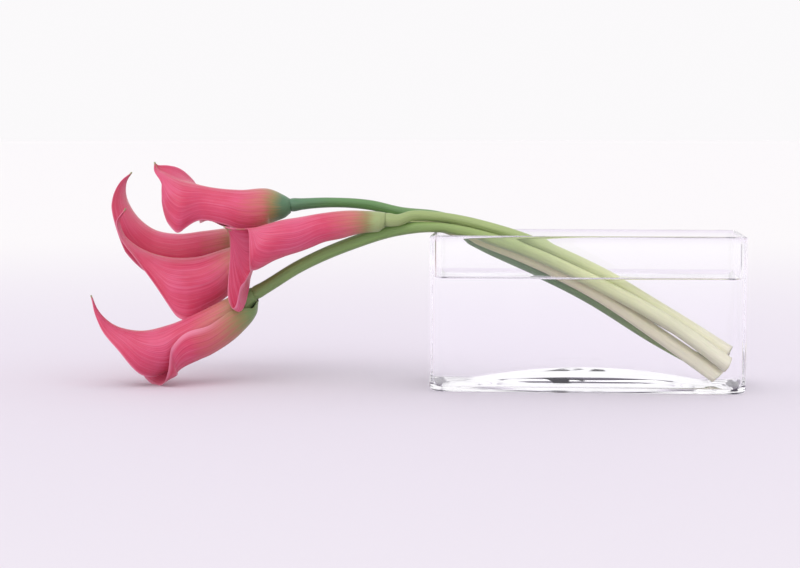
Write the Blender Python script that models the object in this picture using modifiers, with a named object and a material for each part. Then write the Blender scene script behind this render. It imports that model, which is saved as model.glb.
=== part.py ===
"""Five calla lilies laid across one end of a low, clear, oblong vase of water.

Metres, +Z up, resting on z = 0.  The stems slant down through the water to the
far lower corner, lie over the rim at the -X end and carry their blooms beyond it.
All driving dimensions are in millimetres and are turned into metres by MM.
"""
import math
from dataclasses import dataclass

import bmesh
import bpy
import numpy as np

MM = 0.001

# ---------------------------------------------------------------- vase and water
VASE_LENGTH = 204.0
VASE_DEPTH = 80.0
VASE_HEIGHT = 101.5
WALL = 4.0
CORNER_RADIUS = 9.0        # upright corners, outside
HEEL_RADIUS = 3.0          # rounding between the walls and the underside
FLOOR_EDGE = 3.0           # glass under the water at the foot of the walls
FLOOR_FILLET = 4.0
LEAST_CORNER = 1.5         # the innermost rings keep this much corner radius
MIDDLE_WIDTH = 2.0         # half width of the flat faces that close the floor and the punt
DOME_RISE = 10.0           # how far the floor swells up in the middle
DOME_END = 16.0            # level floor left at each end of the swelling
PUNT_RISE = 5.0            # how far the underside is hollowed
FOOT_RING = 5.0            # flat land around the hollow
WATER_LEVEL = 73.2
CORNER_STEPS = 5

# ---------------------------------------------------------------- clearances
GAP = 0.3                  # between pieces that touch
STEM_GAP = 0.4             # from stems to the water and to the rim
BUNDLE_GAP = 0.95          # between neighbouring stems, more than GAP because they bend

# ---------------------------------------------------------------- stems
JOINT_RADIUS = 4.3         # where a stem meets its spathe
RIM_RADIUS = 3.4           # where the stems lie on the rim
CUT_RADIUS = 5.2           # at the cut ends
STEM_SIDES = 10
STEM_STEPS = 30
JOINT_LEAD = 8.0           # straight run behind a joint
FLOOR_CLEARANCE = 1.2      # under the lowest cut end
BUNDLE_DROP = 0.95         # stem pitches from the bundle's middle line to its lowest edge

# ---------------------------------------------------------------- blooms
SPATHE_THICKNESS = 1.0
LAP = 1.3                  # the outer margin rides this far outside the inner one
SPADIX_RADIUS = 2.2
SPADIX_LEAD = 5.0          # straight run in front of a joint
SPADIX_REACH = 0.5         # share of the midrib's length
SPADIX_END = 0.12          # squared share of its radius left at the blunt end
SPADIX_BLUNTNESS = 6       # power of the rounding towards that end
REFLEX_START = 0.55        # share of a half's breadth where its margin starts to turn back
FINE_STEPS = 24            # steps used between two columns to add up a section's curve
SPATHE_ROWS = 20
HALF_COLUMNS = 8
BLOOM_RIM_HEIGHT = 101.5   # height of the rim for which the blooms are described
SETTLE_RUN = 90.0          # run beyond the rim over which stems take up another height

# Shares of a midrib's length, from the joint to the tip, at which a bloom is described.
STATIONS = (0.0, 0.05, 0.12, 0.26, 0.42, 0.57, 0.73, 0.85, 0.93, 1.0)

RIM_X = -VASE_LENGTH / 2 + WALL / 2     # crest of the rim the stems lie on


@dataclass(frozen=True)
class Bloom:
    """One rolled spathe, described along its midrib (the line down its back).

    The midrib's points are measured from the middle of the crest of the rim at the -X end.
    Each other tuple has one value for each of STATIONS.
    """

    midrib: tuple
    radius: tuple              # of the roll
    near: tuple                # breadth from midrib to margin on the -Y side
    far: tuple                 # breadth on the +Y side
    reflex: tuple              # degrees by which both margins turn back outwards
    lean: tuple                # degrees by which a section leans towards the tip
    far_bend: tuple = (1.0,) * len(STATIONS)   # share of the roll kept on the far side
    flat: tuple = (1.0,) * len(STATIONS)       # share of the roll's breadth that is kept
    outer_far: bool = False    # the far margin laps over the near one


BLOOMS = {
    1: Bloom(
        midrib=((-98, 4, 21.5), (-111, 2.5, 27.5), (-131, 1, 27), (-152, 0, 29), (-161, 0, 31),
                (-172.5, 0, 34), (-181.5, 0, 38), (-187, 0, 41.5), (-188.5, 0, 46)),
        radius=(4.6, 6.8, 9.8, 13.5, 13.5, 11.8, 18, 11, 7, 5),
        near=(13, 22, 30, 34, 31, 29.5, 44, 25, 9, 0.4),
        far=(16, 28, 40, 52, 42, 36, 22, 13, 7, 0.4),
        reflex=(0, 0, 0, 0, 0, 10, 20, 10, 0, 0),
        lean=(-30, -15, 0, 0, 0, 0, -6, -16, -45, -40),
        far_bend=(1, 1, 1, 1, 1, 0.9, 0, -0.8, -1, -1)),
    2: Bloom(
        midrib=((-122, 33, 0), (-138, 37, 0), (-163, 41, -3), (-182, 41, -5), (-198, 41, -2),
                (-211, 41, 8), (-218, 41, 22), (-217, 41, 32), (-213, 41, 38)),
        radius=(4.8, 8, 10.5, 12.5, 14, 15, 17, 18, 12, 6),
        near=(14, 24, 32, 38, 42, 44, 36, 22, 9, 0.4),
        far=(18, 30, 36, 40, 42, 42, 34, 20, 7, 0.4),
        reflex=(0, 0, 0, 0, 20, 40, 40, 20, 0, 0),
        lean=(-12, -6, 0, -5, -15, -30, -45, -45, -20, 0)),
    3: Bloom(
        midrib=((-114, -2, -7.5), (-126, 2, -8.5), (-141, 6.8, -12.5), (-162, 6.8, -18.5),
                (-183, 6.8, -18.5), (-201, 6.8, -12.5), (-212, 6.8, -3.5), (-215, 6.8, 5.5),
                (-210, 6.8, 14.5)),
        radius=(4.8, 8, 10.5, 13, 17, 26, 20, 20, 15, 8),
        near=(12, 20, 26, 37, 48.5, 53, 23, 9, 4, 0.4),
        far=(18, 33, 44, 50, 46, 36, 22, 12, 8, 0.4),
        reflex=(0, 0, 0, 0, 10, 45, 55, 20, 0, 0),
        lean=(-13, -7, 0, -5, -12, -26, -50, -50, -30, 0),
        flat=(1, 1, 1, 0.95, 0.85, 0.75, 0.75, 1, 1, 1)),
    4: Bloom(
        midrib=((-32, -17.5, 13.5), (-45, -18.5, 14.3), (-58, -21, 14.4), (-72, -24, 13),
                (-88, -27, 10.3), (-99, -29, 8.5), (-108, -30, 6), (-116, -30, 3.8),
                (-124, -29, 3), (-132, -27, 3.2), (-138, -24, 4.2)),
        radius=(4.8, 5.2, 5.6, 7.2, 8, 10.5, 16, 27, 27, 15),
        near=(14, 21, 24, 29, 32, 44, 35, 0.8, 0.5, 0.4),
        far=(14, 14, 15.5, 21, 24, 34, 56, 102, 84, 0.4),
        reflex=(0,) * 10,
        lean=(0, 0, 0, 0, 5, 22, 36, 2, -10, 0),
        flat=(1, 1, 1, 1, 1, 1, 0.8, 0.5, 0.45, 0.5)),
    5: Bloom(
        midrib=((-122, -13, -37), (-136, -13.5, -43.5), (-156, -17, -53.5), (-175, -20.5, -61.5),
                (-196, -23.5, -65.5), (-214, -25, -60.5), (-223, -25, -51.5), (-227, -25, -41.5)),
        radius=(4.8, 8, 10.5, 13.5, 14, 16.2, 15, 10, 8, 5),
        near=(14, 22, 32, 38, 42, 52, 21, 8, 3, 0.4),
        far=(18, 42, 59, 74, 78, 70, 22, 8, 3, 0.4),
        reflex=(0, 0, 0, 0, 0, 20, 30, 0, 0, 0),
        lean=(-5, 0, 5, 20, 20, -8, -6, 0, 0, 0),
        outer_far=True),
}


@dataclass(frozen=True)
class Stem:
    """One stem: its points outside the vase, then its slot in the bundle at each of BUNDLE.

    The outside points are measured from the middle of the crest of the rim at the -X end.  A slot is
    (across, up) in stem pitches, so stems stay clear of each other at any stem radius.
    """

    outside: tuple
    slots: tuple
    cut: float                 # how far the cut end runs past the last slot
    girth: float = 1.0         # radius outside the vase as a share of RIM_RADIUS


STEMS = {
    1: Stem(outside=((-71, 5, 19), (-44, 6, 17.3), (-24, 5, 12.9)),
            slots=((0.5, 0.87), (1.0, 0.25), (0.95, 0.3), (1.05, 0.35), (1.07, 0.52)), cut=-1.0),
    2: Stem(outside=((-72, 23, 7.3), (-38, 14.5, 7), (-18, 9.5, 5.5)),
            slots=((1.0, 0.0), (0.93, -0.85), (0.9, -0.83), (0.9, -0.85), (0.85, -0.49)), cut=1.0),
    3: Stem(outside=((-77, 0, 1), (-44, 1, 3.7), (-20, -1, 4)),
            slots=((0.0, 0.0), (0.0, -0.4), (0.0, -0.35), (-0.1, -0.56), (-0.27, -0.72)), cut=1.0),
    4: Stem(outside=((-15, -12.5, 11.2),),
            slots=((-0.7, 0.87), (0.0, 0.8), (0.0, 0.94), (0.1, 0.82), (0.05, 0.74)), cut=-3.0),
    5: Stem(outside=((-89, -16, -22.2), (-56, -14, -7.5), (-25, -11.5, 2)),
            slots=((-1.25, 0.0), (-0.95, 0.1), (-0.8, 0.31), (-0.88, 0.47), (-0.9, 0.21)),
            cut=0.0, girth=1.25),
}

# The bundle's middle line inside the vase: share of the length, depth in mm, share of the
# way up from its foot to the rim, and the slope in degrees; the first point is on the rim.
BUNDLE = (
    (0.01, -3.0, None, 4.0),
    (0.22, -7.0, 0.93, 17.0),
    (0.525, -8.0, 0.602, 29.0),
    (0.75, -7.0, 0.29, 34.0),
    (0.945, -5.0, 0.0, 38.0),
)

COLOURS = {
    "glass": ((0.90, 0.92, 0.95, 1.0), 0.03, 0.0),
    "water": ((0.88, 0.93, 0.96, 1.0), 0.02, 0.0),
    "stem": ((0.22, 0.38, 0.10, 1.0), 0.40, 0.0),
    "spathe": ((0.66, 0.08, 0.20, 1.0), 0.40, 0.0),
    "spadix": ((0.80, 0.50, 0.08, 1.0), 0.75, 0.0),
}


# ---------------------------------------------------------------- curves
def smooth(stations, values, where):
    """Values at `where` on the smooth line through (stations, values)."""
    s = np.asarray(stations, float)
    v = np.asarray(values, float)
    v = v.reshape(len(s), -1)
    step = np.diff(s)
    rise = np.diff(v, axis=0) / step[:, None]
    slope = np.empty_like(v)
    slope[0], slope[-1] = rise[0], rise[-1]
    both = (step[:-1] + step[1:])[:, None]
    slope[1:-1] = (rise[:-1] * step[1:, None] + rise[1:] * step[:-1, None]) / both
    w = np.clip(np.asarray(where, float), s[0], s[-1])
    i = np.clip(np.searchsorted(s, w, side="right") - 1, 0, len(s) - 2)
    h = step[i][:, None]
    t = ((w - s[i]) / step[i])[:, None]
    ease = 3 * t**2 - 2 * t**3
    return (v[i] * (1 - ease) + v[i + 1] * ease
            + h * (slope[i] * (t - 2 * t**2 + t**3) + slope[i + 1] * (t**3 - t**2)))


def along(points, where):
    """Rows at shares `where` of the length of the smooth line through the rows of `points`.

    The first three columns are the place, and any others are carried along with it.
    """
    p = np.asarray(points, float)
    steps = np.linalg.norm(np.diff(p[:, :3], axis=0), axis=1)
    run = np.concatenate([[0.0], np.cumsum(steps)])
    return smooth(run / run[-1], p, where)


def unit(vectors):
    """Each row scaled to length one."""
    return vectors / np.linalg.norm(vectors, axis=-1, keepdims=True)


def from_rim(points):
    """Points measured from the middle of the crest of the -X rim, in the vase's own frame.

    The blooms keep their height above the table whatever the height of the vase; the stems
    take up the difference over their run beyond the rim.
    """
    placed = np.array(points, float)
    out = np.clip(-placed[:, 0] / SETTLE_RUN, 0.0, 1.0)
    placed[:, 2] += (BLOOM_RIM_HEIGHT - VASE_HEIGHT) * out**2 * (3.0 - 2.0 * out)
    return placed + np.array([RIM_X, 0.0, VASE_HEIGHT])


# ---------------------------------------------------------------- blooms
def bloom_frame(bloom, where):
    """Midrib points, headings, side directions and inward directions at shares `where`."""
    midrib = from_rim(bloom.midrib)
    points = along(midrib, where)
    tiny = 0.001
    heading = unit(along(midrib, where + tiny) - along(midrib, where - tiny))
    side = np.array([0.0, -1.0, 0.0])
    lateral = unit(side - (heading @ side)[:, None] * heading)
    inward = -unit(np.cross(heading, lateral))
    lean = np.radians(smooth(STATIONS, bloom.lean, where))
    return points, heading, lateral, inward * np.cos(lean) + heading * np.sin(lean)


def half_section(bloom, where, near):
    """Across and inward coordinates of one half of the sections, midrib to margin."""
    breadth = smooth(STATIONS, bloom.near if near else bloom.far, where)
    radius = smooth(STATIONS, bloom.radius, where) + (LAP if near != bloom.outer_far else -LAP)
    bend = 1.0 / radius * (1.0 if near else smooth(STATIONS, bloom.far_bend, where))
    reflex = np.radians(smooth(STATIONS, bloom.reflex, where))
    share = np.linspace(0.0, 1.0, HALF_COLUMNS * FINE_STEPS + 1)
    turn_back = np.clip((share - REFLEX_START) / (1 - REFLEX_START), 0.0, 1.0) ** 2
    angle = breadth * bend * share - reflex * turn_back
    middle = (angle[:, 1:] + angle[:, :-1]) / 2
    step = breadth / (HALF_COLUMNS * FINE_STEPS)
    start = np.zeros((len(where), 1))
    across = np.hstack([start, np.cumsum(np.cos(middle), axis=1) * step])
    inward = np.hstack([start, np.cumsum(np.sin(middle), axis=1) * step])
    keep = smooth(STATIONS, bloom.flat, where)
    return across[:, ::FINE_STEPS] * keep, inward[:, ::FINE_STEPS]


def spathe_grid(bloom):
    """Grid of points on the spathe: rows run joint to tip, columns margin to margin."""
    where = np.linspace(0.0, 1.0, SPATHE_ROWS + 1)
    points, _, lateral, inward = bloom_frame(bloom, where)
    halves = []
    for near, sign in ((False, -1.0), (True, 1.0)):
        across, depth = half_section(bloom, where, near)
        half = (points[:, None] + sign * across[..., None] * lateral[:, None]
                + depth[..., None] * inward[:, None])
        halves.append(half)
    return np.concatenate([halves[0][:, :0:-1], halves[1]], axis=1)


def tube_centre(bloom, where):
    """Middle line of the rolled tube, where the spadix stands."""
    points, _, _, inward = bloom_frame(bloom, where)
    return points + (smooth(STATIONS, bloom.radius, where) - LAP) * inward


def joint_of(bloom):
    """Centre of a bloom's base and the direction square to it, into the bloom."""
    start = np.zeros(1)
    _, _, lateral, inward = bloom_frame(bloom, start)
    return tube_centre(bloom, start)[0], unit(np.cross(inward, lateral))[0]


# ---------------------------------------------------------------- stems
def bundle_radii():
    """Stem radius at each of BUNDLE, from the rim to the cut ends."""
    return np.linspace(RIM_RADIUS, CUT_RADIUS, len(BUNDLE))


def bundle_point(index, slot):
    """Where a stem in `slot` passes the bundle's point number `index`."""
    length_share, depth, height_share, slope = BUNDLE[index]
    pitch = 2 * bundle_radii()[index] + BUNDLE_GAP
    tilt = math.radians(slope)
    up = np.array([math.sin(tilt), 0.0, math.cos(tilt)])
    foot = FLOOR_EDGE + FLOOR_CLEARANCE + BUNDLE_DROP * (2 * CUT_RADIUS + BUNDLE_GAP)
    if height_share is None:
        height = VASE_HEIGHT + STEM_GAP + RIM_RADIUS
    else:
        height = foot + height_share * (VASE_HEIGHT - foot)
    middle = np.array([(length_share - 0.5) * VASE_LENGTH, depth, height])
    return middle + pitch * (slot[0] * np.array([0.0, 1.0, 0.0]) + slot[1] * up)


def stem_knots(number):
    """Knots of a stem's middle line with its radius, from its joint to its cut end."""
    stem = STEMS[number]
    base, heading = joint_of(BLOOMS[number])
    end_gap = GAP + SPATHE_THICKNESS / 2
    points = [base - heading * end_gap, base - heading * JOINT_LEAD]
    points += list(from_rim(stem.outside))
    points += [bundle_point(i, slot) for i, slot in enumerate(stem.slots)]
    points[-1] = points[-1] + stem.cut * unit(points[-1] - points[-2])
    run = RIM_RADIUS * stem.girth
    neck = (JOINT_RADIUS + run) / 2
    radii = [JOINT_RADIUS, neck] + [run] * len(stem.outside) + list(bundle_radii())
    return np.column_stack([points, radii])


def stem_curve(name, number, extra, collection):
    """A stem as a curve object, `extra` thicker all round and longer at the cut end."""
    rows = along(stem_knots(number), np.linspace(0.0, 1.0, STEM_STEPS + 1))
    if extra > 0.0:
        onwards = unit(rows[-1, :3] - rows[-2, :3]) * extra
        rows = np.vstack([rows, rows[-1] + np.append(onwards, 0.0)])
    data = bpy.data.curves.new(name, "CURVE")
    data.dimensions = "3D"
    data.bevel_depth = MM
    data.bevel_resolution = (STEM_SIDES - 4) // 2
    data.use_fill_caps = True
    spline = data.splines.new("POLY")
    spline.points.add(len(rows) - 1)
    for knot, row in zip(spline.points, rows):
        knot.co = (*(row[:3] * MM), 1.0)
        knot.radius = row[3] + extra
    stem = bpy.data.objects.new(name, data)
    collection.objects.link(stem)
    return stem


# ---------------------------------------------------------------- lofted rings
def rounded_ring(inset, height):
    """One ring: the vase's rounded outline moved in by `inset`, with heights from `height`."""
    half_x = VASE_LENGTH / 2 - inset
    half_y = VASE_DEPTH / 2 - inset
    radius = max(CORNER_RADIUS - inset, LEAST_CORNER)
    turn = np.linspace(0.0, math.pi / 2, CORNER_STEPS + 1)
    ring = []
    for quarter, (sx, sy) in enumerate(((1, 1), (-1, 1), (-1, -1), (1, -1))):
        angle = turn + quarter * math.pi / 2
        ring.append(np.stack([sx * (half_x - radius) + radius * np.cos(angle),
                              sy * (half_y - radius) + radius * np.sin(angle)], axis=1))
    xy = np.concatenate(ring)
    z = height(xy[:, 0], xy[:, 1]) if callable(height) else np.full(len(xy), float(height))
    return np.column_stack([xy, z])


def swell(x, y, half_x, half_y):
    """A low pillow: one in the middle, falling smoothly to zero at the given half sizes."""
    along_x = np.clip(1 - (x / half_x) ** 2, 0.0, 1.0)
    along_y = np.clip(1 - (y / half_y) ** 2, 0.0, 1.0)
    return along_x * np.sqrt(along_y)


def floor_height(x, y):
    """Height of the glass floor inside the vase."""
    half_x = VASE_LENGTH / 2 - WALL - DOME_END
    half_y = VASE_DEPTH / 2 - WALL - FLOOR_FILLET
    return FLOOR_EDGE + DOME_RISE * swell(x, y, half_x, half_y)


def punt_height(x, y):
    """Height of the hollow under the vase, zero on the foot ring."""
    land = HEEL_RADIUS + FOOT_RING
    return PUNT_RISE * swell(x, y, VASE_LENGTH / 2 - land, VASE_DEPTH / 2 - land)


def arc(centre_inset, centre_z, radius, start, end, steps):
    """(inset, height) points on an arc; zero degrees points inwards, ninety up."""
    turn = np.radians(np.linspace(start, end, steps + 1))
    return list(zip(centre_inset + radius * np.cos(turn), centre_z + radius * np.sin(turn)))


def lofted(name, rings, collection):
    """A closed solid through equal rings, the first and last filled."""
    count = len(rings[0])
    mesh = bpy.data.meshes.new(name)
    points = np.concatenate(rings) * MM
    faces = [tuple(range(count))[::-1]]
    for r in range(len(rings) - 1):
        for k in range(count):
            a = r * count + k
            b = r * count + (k + 1) % count
            faces.append((a, b, b + count, a + count))
    faces.append(tuple(range((len(rings) - 1) * count, len(rings) * count)))
    mesh.from_pydata(points.tolist(), [], faces)
    body = bpy.data.objects.new(name, mesh)
    collection.objects.link(body)
    face_outwards(body)
    return body


def face_outwards(body):
    """Turn every face of a closed body outwards."""
    shape = bmesh.new()
    shape.from_mesh(body.data)
    bmesh.ops.triangulate(shape, faces=[f for f in shape.faces if len(f.verts) > 4])
    bmesh.ops.recalc_face_normals(shape, faces=shape.faces)
    shape.to_mesh(body.data)
    shape.free()


def inner_insets():
    """Insets of the floor rings, from the foot of the wall to the middle."""
    return np.linspace(WALL + FLOOR_FILLET, VASE_DEPTH / 2 - MIDDLE_WIDTH, 5)


def make_vase(collection):
    """The glass: underside, heel, wall, round rim, inner wall and domed floor."""
    under = np.linspace(VASE_DEPTH / 2 - MIDDLE_WIDTH, HEEL_RADIUS + FOOT_RING, 5)
    rings = [rounded_ring(inset, punt_height) for inset in under]
    rings.append(rounded_ring(HEEL_RADIUS, 0.0))
    rings += [rounded_ring(i, z) for i, z in arc(HEEL_RADIUS, HEEL_RADIUS, HEEL_RADIUS, 270, 180, 3)[1:]]
    rim = arc(WALL / 2, VASE_HEIGHT - WALL / 2, WALL / 2, 180, 0, 6)
    rings += [rounded_ring(i, z) for i, z in rim]
    fillet = WALL + FLOOR_FILLET
    heel = arc(fillet, FLOOR_EDGE + FLOOR_FILLET, FLOOR_FILLET, 180, 270, 3)
    rings += [rounded_ring(i, z) for i, z in heel]
    rings += [rounded_ring(inset, floor_height) for inset in inner_insets()[1:]]
    return lofted("vase", rings, collection)


def make_water(collection, cutters):
    """The water: fills the vase to its level, with a clear channel for every stem."""
    fillet = WALL + FLOOR_FILLET
    insets = inner_insets()[::-1]
    rings = [rounded_ring(inset, lambda x, y: floor_height(x, y) + GAP) for inset in insets]
    heel = arc(fillet + GAP, FLOOR_EDGE + FLOOR_FILLET, FLOOR_FILLET, 270, 180, 3)
    rings += [rounded_ring(i, z + GAP) for i, z in heel[1:]]
    rings.append(rounded_ring(WALL + GAP, WATER_LEVEL))
    water = lofted("water", rings, collection)
    for number in STEMS:
        curve = stem_curve(f"channel_{number}", number, STEM_GAP, cutters)
        channel = solid_from_curve(curve, cutters)
        cut = water.modifiers.new(f"channel_{number}", "BOOLEAN")
        cut.operation = "DIFFERENCE"
        cut.solver = "EXACT"
        cut.object = channel
    return water


def solid_from_curve(curve, collection):
    """A mesh object with the curve's evaluated shape, welded; the curve is removed."""
    bpy.context.view_layer.update()
    graph = bpy.context.evaluated_depsgraph_get()
    mesh = bpy.data.meshes.new_from_object(curve.evaluated_get(graph))
    name = curve.name
    bpy.data.objects.remove(curve)
    shape = bmesh.new()
    shape.from_mesh(mesh)
    bmesh.ops.remove_doubles(shape, verts=shape.verts, dist=1e-6)
    bmesh.ops.recalc_face_normals(shape, faces=shape.faces)
    shape.to_mesh(mesh)
    shape.free()
    body = bpy.data.objects.new(name, mesh)
    collection.objects.link(body)
    return body


# ---------------------------------------------------------------- flower bodies
def make_spathe(number, collection):
    """A bloom's petal-like spathe: a rolled sheet given its thickness."""
    grid = spathe_grid(BLOOMS[number]) * MM
    rows, columns = grid.shape[:2]
    index = np.arange(rows * columns).reshape(rows, columns)
    faces = np.stack([index[:-1, :-1], index[:-1, 1:], index[1:, 1:], index[1:, :-1]], axis=-1)
    name = f"spathe_{number}"
    mesh = bpy.data.meshes.new(name)
    mesh.from_pydata(grid.reshape(-1, 3).tolist(), [], faces.reshape(-1, 4).tolist())
    spathe = bpy.data.objects.new(name, mesh)
    collection.objects.link(spathe)
    shell = spathe.modifiers.new("thickness", "SOLIDIFY")
    shell.thickness = SPATHE_THICKNESS * MM
    shell.offset = 0.0
    return spathe


def make_spadix(number, collection):
    """The finger-like spadix standing in a bloom's tube."""
    name = f"spadix_{number}"
    bloom = BLOOMS[number]
    base, heading = joint_of(bloom)
    knots = [base, base + heading * SPADIX_LEAD]
    knots += list(tube_centre(bloom, SPADIX_REACH * np.array([0.5, 0.75, 1.0])))
    share = np.linspace(0.0, 1.0, 11)
    points = along(knots, share) * MM
    taper = np.sqrt(np.clip(1 - share**SPADIX_BLUNTNESS, SPADIX_END, 1.0))
    data = bpy.data.curves.new(name, "CURVE")
    data.dimensions = "3D"
    data.bevel_depth = SPADIX_RADIUS * MM
    data.bevel_resolution = 2
    data.use_fill_caps = True
    spline = data.splines.new("POLY")
    spline.points.add(len(points) - 1)
    for knot, point, radius in zip(spline.points, points, taper):
        knot.co = (*point, 1.0)
        knot.radius = radius
    spadix = bpy.data.objects.new(name, data)
    collection.objects.link(spadix)
    return spadix


# ---------------------------------------------------------------- scene
def material(slot):
    """A Principled material in the slot's colour, roughness and metallic value."""
    colour, roughness, metallic = COLOURS[slot]
    result = bpy.data.materials.new(slot)
    result.use_nodes = True
    shader = result.node_tree.nodes["Principled BSDF"]
    shader.inputs["Base Color"].default_value = colour
    shader.inputs["Roughness"].default_value = roughness
    shader.inputs["Metallic"].default_value = metallic
    result.diffuse_color = colour
    return result


def new_collection(name):
    """A collection linked to the scene."""
    collection = bpy.data.collections.new(name)
    bpy.context.scene.collection.children.link(collection)
    return collection


def centre_on_base(pieces, root):
    """Move the root so that the whole arrangement stands centred on the origin."""
    bpy.context.view_layer.update()
    graph = bpy.context.evaluated_depsgraph_get()
    corners = []
    for piece in pieces:
        shape = piece.evaluated_get(graph)
        mesh = shape.to_mesh()
        points = np.empty(len(mesh.vertices) * 3)
        mesh.vertices.foreach_get("co", points)
        points = points.reshape(-1, 3)
        corners += [points.min(axis=0), points.max(axis=0)]
        shape.to_mesh_clear()
    low = np.min(corners, axis=0)
    high = np.max(corners, axis=0)
    root.location = (-(low[0] + high[0]) / 2, -(low[1] + high[1]) / 2, 0.0)


def main():
    """Build every piece, then centre the arrangement."""
    for old in list(bpy.data.objects):
        bpy.data.objects.remove(old)
    collection = new_collection("calla_lilies_in_vase")
    cutters = new_collection("cutters")
    pieces = {"glass": [make_vase(collection)], "water": [make_water(collection, cutters)]}
    pieces["stem"] = [stem_curve(f"stem_{n}", n, 0.0, collection) for n in STEMS]
    pieces["spathe"] = [make_spathe(n, collection) for n in BLOOMS]
    pieces["spadix"] = [make_spadix(n, collection) for n in BLOOMS]
    for cutter in cutters.objects:
        cutter.hide_render = True
        cutter.display_type = "WIRE"
    root = bpy.data.objects.new("arrangement", None)
    collection.objects.link(root)
    for slot, group in pieces.items():
        finish = material(slot)
        for piece in group:
            piece.data.materials.append(finish)
            piece.parent = root
    for cutter in cutters.objects:
        cutter.parent = root
    centre_on_base([piece for group in pieces.values() for piece in group], root)


main()
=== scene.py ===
"""Five calla lilies laid across one end of a low, clear, oblong vase of water.

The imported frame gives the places; this script gives the finished surfaces and materials.
Metres, +Z up.  The tables of sizes are in millimetres, as a maker would write them, and
every shape is worked out in millimetres in the vase's own frame (the middle of its foot at
the origin, its length along X).  Workshop.place turns them into metres in the row frame.
"""
import logging
import math
from dataclasses import dataclass, field
from enum import Enum
from typing import Callable, Sequence, Union

import bmesh
import bpy
import numpy as np
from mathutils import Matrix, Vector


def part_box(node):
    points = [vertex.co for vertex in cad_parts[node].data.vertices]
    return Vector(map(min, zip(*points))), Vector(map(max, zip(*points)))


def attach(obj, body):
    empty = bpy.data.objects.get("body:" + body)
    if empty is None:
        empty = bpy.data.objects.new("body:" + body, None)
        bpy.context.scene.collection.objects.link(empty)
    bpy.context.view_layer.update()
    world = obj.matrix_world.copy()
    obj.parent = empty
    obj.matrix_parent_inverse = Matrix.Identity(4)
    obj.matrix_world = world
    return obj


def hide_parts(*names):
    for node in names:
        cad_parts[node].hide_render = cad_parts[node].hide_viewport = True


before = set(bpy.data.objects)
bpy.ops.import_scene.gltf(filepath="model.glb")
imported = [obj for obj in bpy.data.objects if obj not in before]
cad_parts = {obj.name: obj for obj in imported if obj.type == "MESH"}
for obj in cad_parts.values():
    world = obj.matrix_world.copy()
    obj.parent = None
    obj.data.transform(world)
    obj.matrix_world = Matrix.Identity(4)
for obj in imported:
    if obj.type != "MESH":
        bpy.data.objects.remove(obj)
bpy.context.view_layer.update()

MM = 0.001
TURN = 2 * math.pi
BACKWARDS = np.array([0.0, 1.0, 0.0])
LOG = logging.getLogger("calla_lilies")

Array = np.ndarray
Colour = tuple[float, float, float]
Stops = Sequence[tuple[float, Colour]]


# ------------------------------------------------------------------ curves and surfaces
def smooth(stations: Sequence[float], values: Sequence, where: Array) -> Array:
    """Values on a smooth line through given stations.

    Cubic Hermite pieces: between two stations the value is v0 (1 - e) + v1 e plus the
    step times (m0 (t - 2 t^2 + t^3) + m1 (t^3 - t^2)), with e = 3 t^2 - 2 t^3 and each
    slope m the distance-weighted mean of the two neighbouring rises.

    Args:
        stations: where the values are given, rising.
        values: one number or one row for each station.
        where: where the line is read.

    Returns:
        One row for each entry of where.
    """
    s = np.asarray(stations, float)
    v = np.asarray(values, float).reshape(len(s), -1)
    step = np.diff(s)
    rise = np.diff(v, axis=0) / step[:, None]
    slope = np.empty_like(v)
    slope[0], slope[-1] = rise[0], rise[-1]
    both = (step[:-1] + step[1:])[:, None]
    slope[1:-1] = (rise[:-1] * step[1:, None] + rise[1:] * step[:-1, None]) / both
    w = np.clip(np.asarray(where, float), s[0], s[-1])
    i = np.clip(np.searchsorted(s, w, side="right") - 1, 0, len(s) - 2)
    h = step[i][:, None]
    t = ((w - s[i]) / step[i])[:, None]
    ease = 3 * t**2 - 2 * t**3
    return (v[i] * (1 - ease) + v[i + 1] * ease
            + h * (slope[i] * (t - 2 * t**2 + t**3) + slope[i + 1] * (t**3 - t**2)))


def along(points: Sequence, where: Array) -> Array:
    """Rows at shares of the length of the smooth line through the rows of points.

    Args:
        points: knots; the first three columns are the place, others are carried along.
        where: shares of the length.

    Returns:
        One row for each share.
    """
    p = np.asarray(points, float)
    steps = np.linalg.norm(np.diff(p[:, :3], axis=0), axis=1)
    run = np.concatenate([[0.0], np.cumsum(steps)])
    return smooth(run / run[-1], p, where)


def unit(vectors: Array) -> Array:
    """Each row scaled to length one: v / |v|."""
    return vectors / np.linalg.norm(vectors, axis=-1, keepdims=True)


def ease(low: float, high: float, x: Array) -> Array:
    """A smooth step from 0 at low to 1 at high: t^2 (3 - 2 t)."""
    t = np.clip((x - low) / (high - low), 0.0, 1.0)
    return t * t * (3 - 2 * t)


def square_to(heading: Array) -> Array:
    """The -Y direction with its part along each heading taken out, scaled to length one."""
    side = -BACKWARDS
    return unit(side - (heading @ side)[:, None] * heading)


def grid_normals(grid: Array, closed: bool = False) -> Array:
    """Unit normals of a grid of points: the cross product of its two central differences.

    Args:
        grid: rows x columns x 3.
        closed: True if the columns run round a ring.

    Returns:
        rows x columns x 3.
    """
    down = np.gradient(grid, axis=0)
    if closed:
        across = np.roll(grid, -1, axis=1) - np.roll(grid, 1, axis=1)
    else:
        across = np.gradient(grid, axis=1)
    normal = np.cross(down, across)
    return normal / np.maximum(np.linalg.norm(normal, axis=-1, keepdims=True), 1e-12)


def grid_faces(index: Array) -> Array:
    """Quads over a grid of vertex numbers.

    Args:
        index: rows x columns of vertex numbers.

    Returns:
        One row of four numbers for each quad.
    """
    return np.stack([index[:-1, :-1], index[:-1, 1:], index[1:, 1:], index[1:, :-1]],
                    axis=-1).reshape(-1, 4)


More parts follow.
